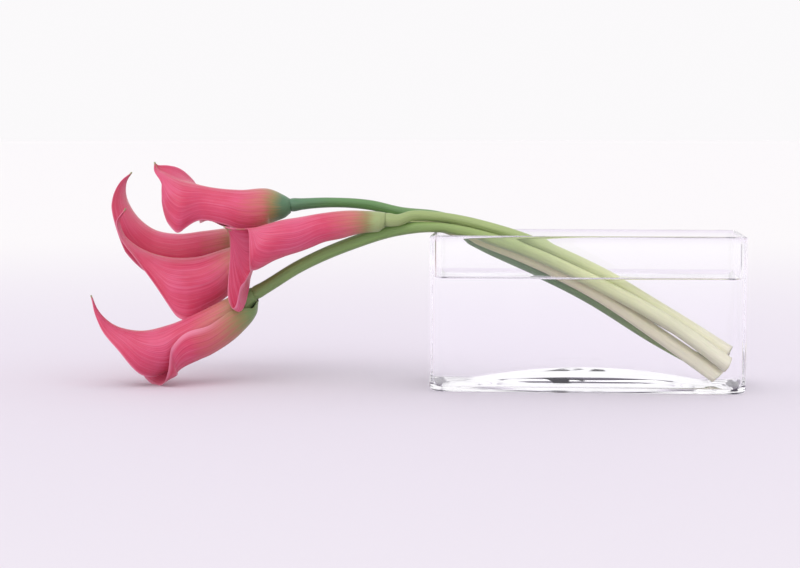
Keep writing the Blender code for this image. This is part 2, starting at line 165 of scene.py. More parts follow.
# ------------------------------------------------------------------ putting meshes in
@dataclass
class Workshop:
    """Where the vase stands in the row frame, and how pieces are put into the scene."""

    low: Array
    high: Array

    @classmethod
    def at_vase(cls) -> "Workshop":
        """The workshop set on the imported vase."""
        low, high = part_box("vase")
        return cls(np.array(low), np.array(high))

    @property
    def origin(self) -> Array:
        """The middle of the vase's foot, in metres, in the row frame."""
        middle = (self.low + self.high) / 2
        return np.array([middle[0], middle[1], self.low[2]])

    @property
    def size(self) -> Array:
        """Length, depth and height of the vase in millimetres."""
        return (self.high - self.low) / MM

    def place(self, points: Array) -> Array:
        """Points given in the vase's frame, moved into the row frame.

        Args:
            points: any grid of points, in millimetres.

        Returns:
            n x 3, in metres.
        """
        return points.reshape(-1, 3) * MM + self.origin

    def mesh(self, name: str, points: Array, faces: list, spans: Array | None = None,
             marks: dict[str, Array] | None = None) -> bpy.types.Object:
        """A smooth-shaded mesh object with its normals outwards.

        Args:
            name: the piece's name.
            points: n x 3 in millimetres in the vase's frame.
            faces: tuples of vertex numbers.
            spans: n x 2, written to the UV map "span", or None.
            marks: number for each vertex, by attribute name.

        Returns:
            The object, at the origin.
        """
        mesh = bpy.data.meshes.new(name)
        mesh.from_pydata(self.place(points).tolist(), [], faces)
        if spans is not None:
            corner = np.empty(len(mesh.loops), dtype=np.int64)
            mesh.loops.foreach_get("vertex_index", corner)
            layer = mesh.uv_layers.new(name="span")
            layer.data.foreach_set("uv", spans[corner].astype(np.float32).ravel())
        for mark, values in (marks or {}).items():
            slot = mesh.attributes.new(mark, "FLOAT", "POINT")
            slot.data.foreach_set("value", values.astype(np.float32).ravel())
        shape = bmesh.new()
        shape.from_mesh(mesh)
        bmesh.ops.recalc_face_normals(shape, faces=shape.faces)
        shape.to_mesh(mesh)
        shape.free()
        mesh.shade_smooth()
        return show(name, mesh)


def show(name: str, mesh: bpy.types.Mesh) -> bpy.types.Object:
    """Put a mesh into the scene.

    Args:
        name: the new object's name.
        mesh: its shape.

    Returns:
        The object, at the origin.
    """
    piece = bpy.data.objects.new(name, mesh)
    bpy.context.scene.collection.objects.link(piece)
    return piece


def deliver(piece: bpy.types.Object, node: str, slot: str) -> None:
    """Hang a piece on the root body, hide the CAD node that it takes the place of, and log its faces
    and finish slot.

    Args:
        piece: the finished piece.
        node: the CAD node that it takes the place of.
        slot: the material slot that its finish belongs to.
    """
    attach(piece, "root")
    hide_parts(node)
    LOG.info("%s: %d faces, finish %s", piece.name, len(piece.data.polygons), slot)


# ------------------------------------------------------------------ shader expressions
Value = Union["Signal", float, int]


class Signal:
    """One shader socket that takes part in Python arithmetic through Math nodes."""

    def __init__(self, graph: "Graph", socket: bpy.types.NodeSocket) -> None:
        """Wrap a socket of a graph."""
        self.graph = graph
        self.socket = socket

    def _math(self, operation: str, first: Value, second: Value) -> "Signal":
        """A Math node on two values.

        Args:
            operation: the node's operation.
            first: its first value.
            second: its second value, which some operations leave out of account.

        Returns:
            The result.
        """
        return self.graph.node("ShaderNodeMath", {"operation": operation},
                               {0: first, 1: second})

    def __add__(self, other: Value) -> "Signal":
        """self + other."""
        return self._math("ADD", self, other)

    def __radd__(self, other: Value) -> "Signal":
        """other + self."""
        return self._math("ADD", other, self)

    def __sub__(self, other: Value) -> "Signal":
        """self - other."""
        return self._math("SUBTRACT", self, other)

    def __rsub__(self, other: Value) -> "Signal":
        """other - self."""
        return self._math("SUBTRACT", other, self)

    def __mul__(self, other: Value) -> "Signal":
        """self * other."""
        return self._math("MULTIPLY", self, other)

    def __rmul__(self, other: Value) -> "Signal":
        """other * self."""
        return self._math("MULTIPLY", other, self)

    def __abs__(self) -> "Signal":
        """The value without its sign."""
        return self._math("ABSOLUTE", self, 0.0)

    def cos(self) -> "Signal":
        """The cosine of an angle in radians."""
        return self._math("COSINE", self, 0.0)

    def sin(self) -> "Signal":
        """The sine of an angle in radians."""
        return self._math("SINE", self, 0.0)


class Graph:
    """One material's nodes, built from expressions."""

    def __init__(self, name: str) -> None:
        """An empty node tree for a new material.

        Args:
            name: the material's name.
        """
        self.material = bpy.data.materials.new(name)
        self.material.use_nodes = True
        self.tree = self.material.node_tree
        self.tree.nodes.clear()

    def node(self, kind: str, settings: dict | None = None, values: dict | None = None,
             output: int | str = 0) -> Signal:
        """Any node.

        Args:
            kind: the node's type.
            settings: attributes set first; "stops" gives a ramp's stops.
            values: numbers, colours, vectors or signals for its sockets, by number or name.
            output: which output is returned.

        Returns:
            That output as a signal.
        """
        made = self.tree.nodes.new(kind)
        for key, setting in (settings or {}).items():
            if key == "stops":
                self._stops(made.color_ramp, setting)
            else:
                setattr(made, key, setting)
        for key, value in (values or {}).items():
            if isinstance(value, Signal):
                self.tree.links.new(value.socket, made.inputs[key])
            elif made.inputs[key].type == "RGBA":
                made.inputs[key].default_value = (*value[:3], 1.0)
            else:
                made.inputs[key].default_value = value
        return Signal(self, made.outputs[output])

    @staticmethod
    def _stops(ramp: bpy.types.ColorRamp, stops: Stops) -> None:
        """Set a colour ramp's stops.

        Args:
            ramp: the ramp, which has two to begin with.
            stops: pairs of (position, colour).
        """
        while len(ramp.elements) < len(stops):
            ramp.elements.new(1.0)
        for element, (position, colour) in zip(ramp.elements, stops):
            element.position = position
            element.color = (*colour, 1.0)

    def ramp(self, value: Value, stops: Stops) -> Signal:
        """A colour read off a row of stops.

        Args:
            value: where it is read, from 0 to 1.
            stops: pairs of (position, colour).

        Returns:
            The colour.
        """
        return self.node("ShaderNodeValToRGB", {"stops": stops}, {0: value})

    def mix(self, share: Value, first: object, second: object, blend: str = "MIX") -> Signal:
        """Two colours blended by a share.

        Args:
            share: 0 for the first colour alone, 1 for the second.
            first: a colour or signal.
            second: a colour or signal.
            blend: the blend mode.

        Returns:
            The colour.
        """
        return self.node("ShaderNodeMix", {"data_type": "RGBA", "blend_type": blend},
                         {0: share, 6: first, 7: second}, 2)

    def step(self, value: Value, low: float, high: float) -> Signal:
        """A smooth step from 0 at low to 1 at high; it falls if low is the larger."""
        return self.node("ShaderNodeMapRange", {"interpolation_type": "SMOOTHSTEP"},
                         {0: value, 1: low, 2: high, 3: 0.0, 4: 1.0})

    def place(self) -> Signal:
        """Object coordinates."""
        return self.node("ShaderNodeTexCoord", output="Object")

    def span(self) -> tuple[Signal, Signal]:
        """The two coordinates of the piece's own UV map."""
        vector = self.node("ShaderNodeUVMap", {"uv_map": "span"})
        return self.part(vector, 0), self.part(vector, 1)

    def part(self, vector: Signal, axis: int) -> Signal:
        """One coordinate of a vector."""
        return self.node("ShaderNodeSeparateXYZ", None, {0: vector}, axis)

    def vector(self, x: Value, y: Value, z: Value = 0.0) -> Signal:
        """A vector of three values."""
        return self.node("ShaderNodeCombineXYZ", None, {0: x, 1: y, 2: z})

    def mark(self, name: str) -> Signal:
        """A number kept on the mesh."""
        return self.node("ShaderNodeAttribute", {"attribute_name": name}, output="Fac")

    def noise(self, vector: Signal, scale: float, detail: float = 2.0,
              rough: float = 0.5) -> Signal:
        """Soft noise from 0 to 1.

        Args:
            vector: where it is read.
            scale: grains in one unit of the vector.
            detail: number of finer layers.
            rough: strength of each finer layer against the one before.

        Returns:
            The value.
        """
        return self.node("ShaderNodeTexNoise", None, {
            "Vector": vector, "Scale": scale, "Detail": detail, "Roughness": rough})

    def bump(self, height: Value, depth: float, strength: float = 1.0) -> Signal:
        """A normal from a height.

        Args:
            height: the height, from 0 to 1.
            depth: what a height of 1 stands for, in metres.
            strength: share of the effect that is kept.

        Returns:
            The normal.
        """
        return self.node("ShaderNodeBump", None, {
            "Height": height, "Distance": depth, "Strength": strength})

    def principled(self, values: dict) -> Signal:
        """A Principled shader."""
        return self.node("ShaderNodeBsdfPrincipled", None, values)

    def finish(self, shader: Signal) -> bpy.types.Material:
        """Show a shader on the surface.

        Args:
            shader: the last shader.

        Returns:
            The material.
        """
        out = self.tree.nodes.new("ShaderNodeOutputMaterial")
        self.tree.links.new(shader.socket, out.inputs["Surface"])
        return self.material


# ------------------------------------------------------------------ finishes
@dataclass(frozen=True)
class SpatheFinish:
    """The satin skin of a spathe: rose pink, veined, green at the joint and at the tip, with painted
    shade in the throat and painted light on the margins and along the midrib.
    """

    rose: Colour = (0.625, 0.048, 0.122)
    deep: Colour = (0.420, 0.012, 0.055)
    light: Colour = (0.780, 0.270, 0.400)
    blush: Colour = (0.720, 0.115, 0.250)
    salmon: Colour = (0.540, 0.150, 0.130)
    olive: Colour = (0.300, 0.240, 0.095)
    green: Colour = (0.125, 0.225, 0.080)      # at the joint
    tip: Colour = (0.300, 0.360, 0.150)
    keel_and_highlight: Colour = (0.620, 0.400, 0.230)
    veins: float = 60.0              # streaks from margin to margin; finer ones are multiples
    clouds: float = 38.0             # soft patches in a metre
    blush_share: float = 0.55        # strengths of the layers, in the order they are laid on
    throat_shade_share: float = 0.55
    streak_share: float = 0.16
    vein_share: float = 0.38
    hair_share: float = 0.12
    keel_highlight_share: float = 0.60
    rim_light_share: float = 0.65
    roughness: float = 0.42
    relief: float = 0.0006

    @property
    def ground(self) -> Stops:
        """Ground colours at shares of the length from the joint."""
        return ((0.0, self.green), (0.05, self.green), (0.11, self.olive),
                (0.21, self.salmon), (0.36, self.rose), (1.0, self.rose))

    def build(self, name: str) -> bpy.types.Material:
        """The finish, laid on in layers from the ground colour to the green tip.

        UV x runs from margin to margin and y from joint to tip.

        Args:
            name: the material's name.

        Returns:
            The material.
        """
        g = Graph(name)
        across, up = g.span()
        inside = g.mark("inside")
        middle = abs(across - 0.5) * 2.0

        def lines(share: float, run: float, side: float, detail: float, rough: float) -> Signal:
            """Noise drawn out along the sheet, another pattern on its inner side."""
            stretched = g.vector(across * (self.veins * share), up * run, inside * side)
            return g.noise(stretched, 1.0, detail, rough)

        streak = lines(1.0, 1.6, 7.0, 3.0, 0.6)
        fine = lines(3.3, 2.2, 3.0, 2.0, 0.5)
        hair = lines(5.0, 7.0, 5.0, 2.0, 0.5)
        cloud = g.noise(g.place(), self.clouds, 2.0)
        wander = (streak - 0.5) * 0.16 + (cloud - 0.5) * 0.08
        start = g.ramp(up + wander, self.ground)
        patch = g.step(cloud + (streak - 0.5) * 0.5, 0.40, 0.68) * g.step(up, 0.15, 0.40)
        body = g.mix(patch * self.blush_share, start, self.blush)
        # painted shade: the inner face is made deep red low in the throat, where shade falls inside
        # the roll
        painted_throat_shade = inside * (1.0 - g.step(up, 0.35, 0.75)) * g.step(up, 0.1, 0.25)
        shaded = g.mix(painted_throat_shade * self.throat_shade_share, body, self.deep)
        pale = g.step(streak, 0.50, 0.66) * g.step(up, 0.06, 0.25)
        streaked = g.mix(pale * self.streak_share, shaded, self.light)
        vein = g.step(fine, 0.50, 0.62) * g.step(up, 0.05, 0.25)
        veined = g.mix(vein * self.vein_share, streaked, self.deep)
        glint = g.step(hair, 0.55, 0.66) * g.step(up, 0.1, 0.3)
        haired = g.mix(glint * self.hair_share, veined, self.light)
        # partly the midrib's own paler line, partly a painted highlight along the ridge of the back
        line = (1.0 - g.step(middle, 0.0, 0.035)) * g.step(up, 0.30, 0.6)
        keel_highlighted = g.mix(line * self.keel_highlight_share, haired, self.keel_and_highlight)
        # painted light: the thin margins are made paler, standing in for light shining through them
        # and catching their edges
        rim = g.step(middle, 0.925, 0.995) * g.step(up, 0.14, 0.35)
        rim_lit = g.mix(rim * self.rim_light_share, keel_highlighted, self.light)
        point = g.step(up + (1.0 - g.step(middle, 0.0, 0.35)) * 0.035, 0.975, 1.0)
        colour = g.mix(point, rim_lit, self.tip)
        normal = g.bump(streak * 0.5 + fine * 0.3 + hair * 0.2, self.relief, 0.6)
        return g.finish(g.principled({
            "Base Color": colour, "Roughness": self.roughness + (cloud - 0.5) * 0.12,
            "Normal": normal,
            "Subsurface Weight": 0.10, "Subsurface Radius": (0.004, 0.0012, 0.0012),
            "Subsurface Scale": 0.5, "Sheen Weight": 0.12, "Sheen Roughness": 0.5,
            "Specular IOR Level": 0.4}))


@dataclass(frozen=True)
class StemFinish:
    """The skin of a stem: green by the bloom, paling to cream at the cut end."""

    stops: Stops
    fibres: float = 4.0              # fibres across the stem
    run: float = 6.0                 # breaks in a fibre along the stem
    grain: float = 2.6               # scale of the fibres' noise
    clouds: float = 60.0             # soft patches in a metre
    vessels: float = 900.0           # pores of the cut face in a metre
    glow_share: float = 0.45
    shade_share: float = 0.30
    relief: float = 0.0006
    glow: Colour = (0.80, 0.82, 0.55)
    shade: Colour = (0.16, 0.26, 0.07)
    pith: Colour = (0.80, 0.78, 0.60)
    vessel: Colour = (0.62, 0.62, 0.38)

    def build(self, name: str) -> bpy.types.Material:
        """The finish; UV x runs round the stem, y from the joint to the cut.

        Args:
            name: the material's name.

        Returns:
            The material.
        """
        g = Graph(name)
        around, down = g.span()
        turn = around * TURN
        ring = g.vector(turn.cos() * self.fibres, turn.sin() * self.fibres, down * self.run)
        fibre = g.noise(ring, self.grain, 4.0, 0.65)
        cloud = g.noise(g.place(), self.clouds, 3.0)
        base = g.ramp(down + (cloud - 0.5) * 0.06, self.stops)
        raised = g.step(fibre, 0.45, 0.75) * self.glow_share
        lit = g.mix(raised, base, self.glow, "SOFT_LIGHT")
        deeper = g.mix(0.5, lit, self.shade, "MULTIPLY")
        skin = g.mix(g.step(fibre, 0.55, 0.25) * self.shade_share, lit, deeper)
        face = g.mix(g.noise(g.place(), self.vessels, 1.0), self.vessel, self.pith)
        colour = g.mix(g.mark("cut_face"), skin, face)
        normal = g.bump(fibre, self.relief, 0.5)
        return g.finish(g.principled({
            "Base Color": colour, "Roughness": 0.36 + (cloud - 0.5) * 0.15, "Normal": normal,
            "Subsurface Weight": 0.08, "Subsurface Radius": (0.002, 0.003, 0.001),
            "Subsurface Scale": 0.5, "Specular IOR Level": 0.5}))


@dataclass(frozen=True)
class SpadixFinish:
    """The grainy golden spadix."""

    gold: Colour = (0.80, 0.47, 0.06)
    shade: Colour = (0.45, 0.20, 0.02)
    florets: float = 1300.0          # in a metre
    relief: float = 0.0004

    def build(self, name: str) -> bpy.types.Material:
        """The finish as a material.

        Args:
            name: the material's name.

        Returns:
            The material.
        """
        g = Graph(name)
        cells = g.node("ShaderNodeTexVoronoi", None, {"Vector": g.place(),
                                                      "Scale": self.florets})
        colour = g.mix(g.step(cells, 0.15, 0.6), self.gold, self.shade)
        return g.finish(g.principled({
            "Base Color": colour, "Roughness": 0.7 + (cells - 0.5) * 0.2,
            "Normal": g.bump(1.0 - cells, self.relief)}))


class Face(Enum):
    """What lies on the two sides of a clear surface, as how much it bends light."""

    GLASS_IN_AIR = 1.45
    GLASS_IN_WATER = 1.45 / 1.333
    WATER_IN_AIR = 1.333


@dataclass(frozen=True)
class ClearFinish:
    """Clear glass or water, bending light by the ratio of the two sides of the face."""

    face: Face
    lamp_tint: Colour = (0.965, 0.965, 0.972)
    thin: Colour = (0.985, 0.985, 0.992)
    clean: Colour = (1.0, 1.0, 1.0)
    dim_glow: Colour = (0.78, 0.76, 0.92)
    bright_glow: Colour = (0.90, 0.89, 0.98)
    painted_glow: float = 0.014              # painted light: a faint glow on each face, standing in for light scattered back, so edges stay pale
    wave: float = 26.0               # slow waves in a metre
    wave_depth: float = 0.00003

    def build(self, name: str) -> bpy.types.Material:
        """The finish; lamps shine straight through it, so the table under it stays light.

        Args:
            name: the material's name.

        Returns:
            The material.
        """
        g = Graph(name)
        drift = g.noise(g.place(), self.wave, 2.0)
        tint = g.mix(drift, self.thin, self.clean)
        clear = g.principled({
            "Base Color": tint, "Roughness": 0.0, "IOR": self.face.value,
            "Transmission Weight": 1.0, "Normal": g.bump(drift, self.wave_depth),
            # painted light: a faint glow on every face
            "Emission Color": g.mix(drift, self.dim_glow, self.bright_glow),
            "Emission Strength": self.painted_glow})
        lamps = g.node("ShaderNodeBsdfTransparent", None, {"Color": self.lamp_tint})
        shadow = g.node("ShaderNodeLightPath", output="Is Shadow Ray")
        return g.finish(g.node("ShaderNodeMixShader", None, {0: shadow, 1: clear, 2: lamps}))


@dataclass(frozen=True)
class UnseenFinish:
    """The sides of the water, which lie against the glass and do nothing to light."""

    cool: Colour = (0.9, 0.95, 1.0)
    clean: Colour = (1.0, 1.0, 1.0)
    drifts: float = 30.0             # in a metre

    def build(self, name: str) -> bpy.types.Material:
        """The finish as a material.

        Args:
            name: the material's name.

        Returns:
            The material.
        """
        g = Graph(name)
        drift = g.noise(g.place(), self.drifts)
        return g.finish(g.principled({
            "Base Color": g.mix(drift, self.cool, self.clean), "Alpha": 0.0}))


@dataclass(frozen=True)
class TableFinish:
    """A pale matt table top with painted shade: coloured darker round the vase and lighter with
    distance, standing in for how the light falls.
    """

    near: Colour = (0.722, 0.672, 0.758)
    far: Colour = (0.835, 0.822, 0.832)
    white: Colour = (1.0, 1.0, 1.0)
    start: float = 0.05              # distances between which the near colour gives way
    end: float = 1.7
    grains: float = 700.0            # in a metre
    relief: float = 0.0001

    def build(self, name: str) -> bpy.types.Material:
        """The finish as a material.

        Args:
            name: the material's name.

        Returns:
            The material.
        """
        g = Graph(name)
        place = g.place()
        away = g.node("ShaderNodeVectorMath", {"operation": "LENGTH"}, {0: place}, "Value")
        grain = g.noise(place, self.grains, 2.0)
        # painted shade: darker near the vase, paling with distance as the light does
        painted_falloff = g.mix(g.step(away, self.start, self.end), self.near, self.far)
        colour = g.mix((grain - 0.5) * 0.05 + 0.02, painted_falloff, self.white)
        return g.finish(g.principled({
            "Base Color": colour, "Roughness": 0.85, "Specular IOR Level": 0.15,
            "Normal": g.bump(grain, self.relief, 0.3)}))


# ------------------------------------------------------------------ blooms
STATIONS = (0.0, 0.05, 0.12, 0.26, 0.42, 0.57, 0.73, 0.85, 0.93, 1.0)


@dataclass(frozen=True)
class Bloom:
    """One rolled spathe, described along its midrib, the line down its back.

    The midrib's points are in millimetres from the middle of the rim at the -X end.  Every
    other tuple has one value for each of STATIONS, the shares of the midrib's length.
    """

    midrib: tuple
    radius: tuple                    # of the roll
    near: tuple                      # breadth from midrib to margin on the named side
    far: tuple                       # breadth on the other side
    reflex: tuple                    # degrees by which both margins turn back
    lean: tuple                      # degrees by which a section leans to the tip
    far_bend: tuple = (1.0,) * 10    # share of the roll kept on the far side
    flat: tuple = (1.0,) * 10        # share of the roll's breadth that is kept
    outer_far: bool = False          # the far margin lies over the near one


BLOOMS = {
    1: Bloom(
        midrib=((-98, 4, 21.5), (-111, 2.5, 27.5), (-131, 1, 27), (-152, 0, 29), (-161, 0, 31),
                (-172.5, 0, 34), (-181.5, 0, 38), (-187, 0, 41.5), (-188.5, 0, 46)),
        radius=(4.6, 6.8, 9.8, 13.5, 13.5, 11.8, 18, 11, 7, 5),
        near=(13, 22, 31, 38, 32, 29.5, 44, 25, 9, 0.4),
        far=(16, 28, 40, 52, 42, 36, 22, 13, 7, 0.4),
        reflex=(0, 0, 0, 0, 0, 10, 20, 10, 0, 0),
        lean=(-30, -25, -15, -2, 0, 0, -6, -16, -45, -40),
        far_bend=(1, 1, 1, 1, 1, 0.9, 0, -0.8, -1, -1)),
    2: Bloom(
        midrib=((-122, 33, 0), (-138, 37, 0), (-163, 41, -3), (-182, 41, -5), (-198, 41, -2),
                (-211, 41, 8), (-218, 41, 22), (-217, 41, 32), (-213, 41, 38)),
        radius=(4.8, 8, 10.5, 12.5, 14, 15, 17, 18, 12, 6),
        near=(14, 24, 32, 38, 42, 44, 36, 22, 9, 0.4),
        far=(18, 30, 36, 40, 42, 42, 34, 20, 7, 0.4),
        reflex=(0, 0, 0, 0, 20, 40, 40, 20, 0, 0),
        lean=(-12, -6, 0, -5, -15, -30, -45, -45, -20, 0)),
    3: Bloom(
        midrib=((-114, -2, -7.5), (-126, 2, -8.5), (-141, 6.8, -12.5), (-162, 6.8, -18.5),
                (-183, 6.8, -18.5), (-201, 6.8, -12.5), (-212, 6.8, -3.5), (-215, 6.8, 5.5),
                (-210, 6.8, 14.5)),
        radius=(4.8, 8, 10.5, 13, 17, 26, 20, 20, 15, 8),
        near=(12, 20, 26, 37, 50, 56, 23, 9, 4, 0.4),
        far=(18, 33, 44, 50, 46, 36, 22, 12, 8, 0.4),
        reflex=(0, 0, 0, 0, 10, 45, 55, 20, 0, 0),
        lean=(-13, -7, 0, -5, -12, -26, -50, -50, -30, 0),
        flat=(1, 1, 1, 0.95, 0.85, 0.75, 0.75, 1, 1, 1)),
    4: Bloom(
        midrib=((-32, -17.5, 13.5), (-45, -18.5, 14.3), (-58, -21, 14.4), (-72, -24, 13),
                (-88, -27, 10.3), (-99, -29, 8.5), (-108, -30, 6), (-116, -30, 3.8),
                (-124, -29, 3), (-132, -27, 3.2), (-138, -24, 4.2)),
        radius=(4.8, 5.2, 5.6, 7.2, 8.2, 11.2, 17.5, 27, 27, 15),
        near=(14, 21, 24, 29.5, 33, 46, 40, 0.8, 0.5, 0.4),
        far=(14, 14, 15.5, 21, 24, 34, 56, 102, 84, 0.4),
        reflex=(0,) * 10,
        lean=(0, 0, 0, 0, 5, 20, 34, 6, -4, 0),
        flat=(1, 1, 1, 1, 1, 1, 0.8, 0.5, 0.45, 0.5)),
    5: Bloom(
        midrib=((-122, -13, -37), (-136, -13.5, -43.5), (-156, -17, -53.5), (-175, -20.5, -61.5),
                (-196, -23.5, -65.5), (-214, -25, -60.5), (-223, -25, -51.5), (-227, -25, -41.5)),
        radius=(4.8, 8, 10.5, 13.5, 14, 15.4, 15, 10, 8, 5),
        near=(14, 22, 32, 38, 42, 52, 21, 8, 3, 0.4),
        far=(18, 42, 59, 74, 78, 70, 22, 8, 3, 0.4),
        reflex=(0, 0, 0, 0, 0, 20, 30, 0, 0, 0),
        lean=(-5, 0, 5, 20, 20, -8, -6, 0, 0, 0),
        outer_far=True),
}


@dataclass
class Spathe:
    """The coloured sheet of one bloom, and the line on which its spadix stands."""

    number: int
    rim: Array                       # middle of the -X rim's crest, in the vase's frame
    thickness: float = 0.9
    margin_thickness: float = 0.35
    lap: float = 1.3                 # the outer margin rides this far outside the inner one
    collar: float = 0.035            # share of the length over which the tube meets the stem
    lap_left: float = 0.25           # share of the lap left at the joint
    curl_start: float = 0.55         # share of the breadth past which margins turn back
    ruffle: float = 0.5              # height of the waves along the margins
    ruffles: float = 3.1             # waves from joint to tip
    ruffle_shift: float = 1.5        # by which the two margins' waves differ, each way
    ruffle_rise: tuple = (0.3, 0.5)  # shares of the length over which the waves set in
    ruffle_fall: tuple = (0.85, 0.97)
    rib_height: float = 0.05
    ribs: int = 9                    # from midrib to margin
    rib_rise: tuple = (0.06, 0.2)    # shares of the length
    rib_fall: tuple = (0.7, 0.95)    # shares of the breadth
    joint_share: float = 0.35        # share of the thickness left at the joint
    rounding_start: float = 0.985    # share of the breadth past which a margin is rounded
    least_rounding: float = 0.02     # squared share of the thickness left at a margin
    crowding: float = 1.6            # how strongly columns crowd towards the margins
    fine_steps: int = 600            # steps of the running sums across a half
    rows: int = 170
    half_columns: int = 60
    bloom: Bloom = field(init=False)

    def __post_init__(self) -> None:
        """Look up the bloom's description."""
        self.bloom = BLOOMS[self.number]

    def frames(self, where: Array) -> tuple[Array, Array, Array]:
        """Midrib points, side directions and inward directions at shares of the length.

        The side direction is the named side made square to the heading; inward is the
        cross product of side and heading, leaned towards the heading.

        Args:
            where: shares of the midrib's length.

        Returns:
            Three arrays of rows.
        """
        bloom = self.bloom
        midrib = np.asarray(bloom.midrib, float) + self.rim
        points = along(midrib, where)
        tiny = 0.001
        heading = unit(along(midrib, where + tiny) - along(midrib, where - tiny))
        lateral = square_to(heading)
        inward = -unit(np.cross(heading, lateral))
        lean = np.radians(smooth(STATIONS, bloom.lean, where))
        return points, lateral, inward * np.cos(lean) + heading * np.sin(lean)

    def half(self, where: Array, share: Array, near: bool) -> tuple[Array, Array]:
        """One half of the sections, midrib to margin.

        A section is a path whose direction turns by breadth x bend x share, less the
        reflex times ((share - c) / (1 - c))^2 past c, the curl's start; across and inward
        are the running sums of its cosine and sine.

        Args:
            where: shares of the midrib's length, one for each row.
            share: shares of the breadth, one for each column.
            near: True for the near half.

        Returns:
            Across and inward distances, rows x columns.
        """
        bloom = self.bloom
        fine = np.linspace(0.0, 1.0, self.fine_steps + 1)
        breadth = smooth(STATIONS, bloom.near if near else bloom.far, where)
        settle = ease(0.0, self.collar, where)[:, None]
        lap = self.lap * (self.lap_left + (1 - self.lap_left) * settle)
        outside = near != bloom.outer_far
        radius = smooth(STATIONS, bloom.radius, where) + (lap if outside else -lap)
        bend = (1.0 if near else smooth(STATIONS, bloom.far_bend, where)) / radius
        reflex = np.radians(smooth(STATIONS, bloom.reflex, where))
        back = np.clip((fine - self.curl_start) / (1 - self.curl_start), 0.0, 1.0) ** 2
        angle = breadth * bend * fine - reflex * back
        middle = (angle[:, 1:] + angle[:, :-1]) / 2
        step = breadth / self.fine_steps
        start = np.zeros((len(where), 1))
        across = np.hstack([start, np.cumsum(np.cos(middle), axis=1) * step])
        inward = np.hstack([start, np.cumsum(np.sin(middle), axis=1) * step])
        pick = np.round(share * self.fine_steps).astype(int)
        return across[:, pick] * smooth(STATIONS, bloom.flat, where), inward[:, pick]

    def sheet(self) -> tuple[Array, Array, Array]:
        """The middle of the sheet as a function of two parameters.

        Point(where, share) = midrib(where) + across x side + inward x inward direction.
        Columns crowd towards the margins as 1 - (1 - q)^crowding.

        Returns:
            The grid, its shares of the length and its signed shares of the breadth.
        """
        where = np.linspace(0.0, 1.0, self.rows + 1)
        q = np.linspace(0.0, 1.0, self.half_columns + 1)
        share = 1.0 - (1.0 - q) ** self.crowding
        points, lateral, inward = self.frames(where)
        halves = []
        for near, sign in ((False, -1.0), (True, 1.0)):
            across, depth = self.half(where, share, near)
            halves.append(points[:, None] + sign * across[..., None] * lateral[:, None]
                          + depth[..., None] * inward[:, None])
        grid = np.concatenate([halves[0][:, :0:-1], halves[1]], axis=1)
        signed = np.concatenate([-share[:0:-1], share])
        return grid, where, signed

    def relief(self, up: Array, out: Array) -> Array:
        """How far the sheet stands off its smooth form, in millimetres.

        Waves: ruffle x sin(2 pi (ruffles x up + phase) + shift x sign(out)), only near the
        margins and away from joint and tip.  Ribs: height x cos(2 pi ribs |out|), fading out
        towards the margins.

        Args:
            up: shares of the length.
            out: signed shares of the breadth, of the same shape.

        Returns:
            The heights, of the same shape.
        """
        edge = np.abs(out)
        phase = 0.13 * self.number
        wave = np.sin(TURN * (self.ruffles * up + phase) + self.ruffle_shift * np.sign(out))
        wave = wave * ease(self.curl_start, 1.0, edge)
        wave = wave * ease(*self.ruffle_rise, up) * (1 - ease(*self.ruffle_fall, up))
        rib = np.cos(TURN * self.ribs * edge)
        rib = rib * ease(*self.rib_rise, up) * (1 - ease(*self.rib_fall, edge))
        return self.ruffle * wave + self.rib_height * rib

    def half_thickness(self, up: Array, out: Array) -> Array:
        """Half the sheet's thickness: margin + (middle - margin) (1 - |out|^4), over two.

        It thins towards the joint, and its margins are rounded off.

        Args:
            up: shares of the length.
            out: signed shares of the breadth, of the same shape.

        Returns:
            Millimetres, of the same shape.
        """
        edge = np.abs(out)
        thick = self.margin_thickness + (self.thickness - self.margin_thickness) * (1 - edge**4)
        thick = thick * (self.joint_share + (1 - self.joint_share) * ease(0.0, self.collar, up))
        fall = ease(self.rounding_start, 1.0, edge) ** 2
        return thick * np.sqrt(np.clip(1.0 - fall, self.least_rounding, 1.0)) / 2

    def build(self, shop: Workshop, finish: SpatheFinish) -> bpy.types.Object:
        """A closed shell: the sheet moved out and in by half its thickness.

        Args:
            shop: where it is put.
            finish: its skin.

        Returns:
            The piece.
        """
        grid, where, signed = self.sheet()
        normal = grid_normals(grid)
        up, out = np.meshgrid(where, signed, indexing="ij")
        grid = grid + normal * self.relief(up, out)[..., None]
        half = self.half_thickness(up, out)[..., None]
        rows, columns = up.shape
        count = rows * columns
        points = np.concatenate([(grid + normal * half).reshape(-1, 3),
                                 (grid - normal * half).reshape(-1, 3)])
        index = np.arange(count).reshape(rows, columns)
        other = index + count
        border = np.concatenate([index[0, :-1], index[:-1, -1], index[-1, :0:-1], index[:0:-1, 0]])
        after = np.roll(border, -1)
        strip = np.stack([after, border, border + count, after + count], axis=-1)
        faces = np.concatenate([grid_faces(index), grid_faces(other)[:, ::-1], strip])
        spans = np.stack([(out + 1) / 2, up], axis=-1).reshape(-1, 2)
        inside = np.repeat([0.0, 1.0], count)
        piece = shop.mesh(f"spathe_{self.number}_skin", points, faces.tolist(),
                          np.concatenate([spans, spans]), {"inside": inside})
        piece.data.materials.append(finish.build(f"spathe_{self.number}"))
        deliver(piece, f"spathe_{self.number}", "spathe")
        return piece

    def tube_centre(self, where: Array, lap: float) -> Array:
        """Middle line of the rolled tube.

        Args:
            where: shares of the midrib's length.
            lap: how far inside the roll's radius the inner margin lies there.

        Returns:
            One point for each share.
        """
        points, _, inward = self.frames(where)
        return points + (smooth(STATIONS, self.bloom.radius, where) - lap) * inward

    def joint(self) -> tuple[Array, Array]:
        """Where the stem meets the bloom.

        Returns:
            The centre of the bloom's base and the direction square to it, into the bloom.
        """
        start = np.zeros(1)
        _, lateral, inward = self.frames(start)
        centre = self.tube_centre(start, self.lap_left * self.lap)
        return centre[0], unit(np.cross(inward, lateral))[0]


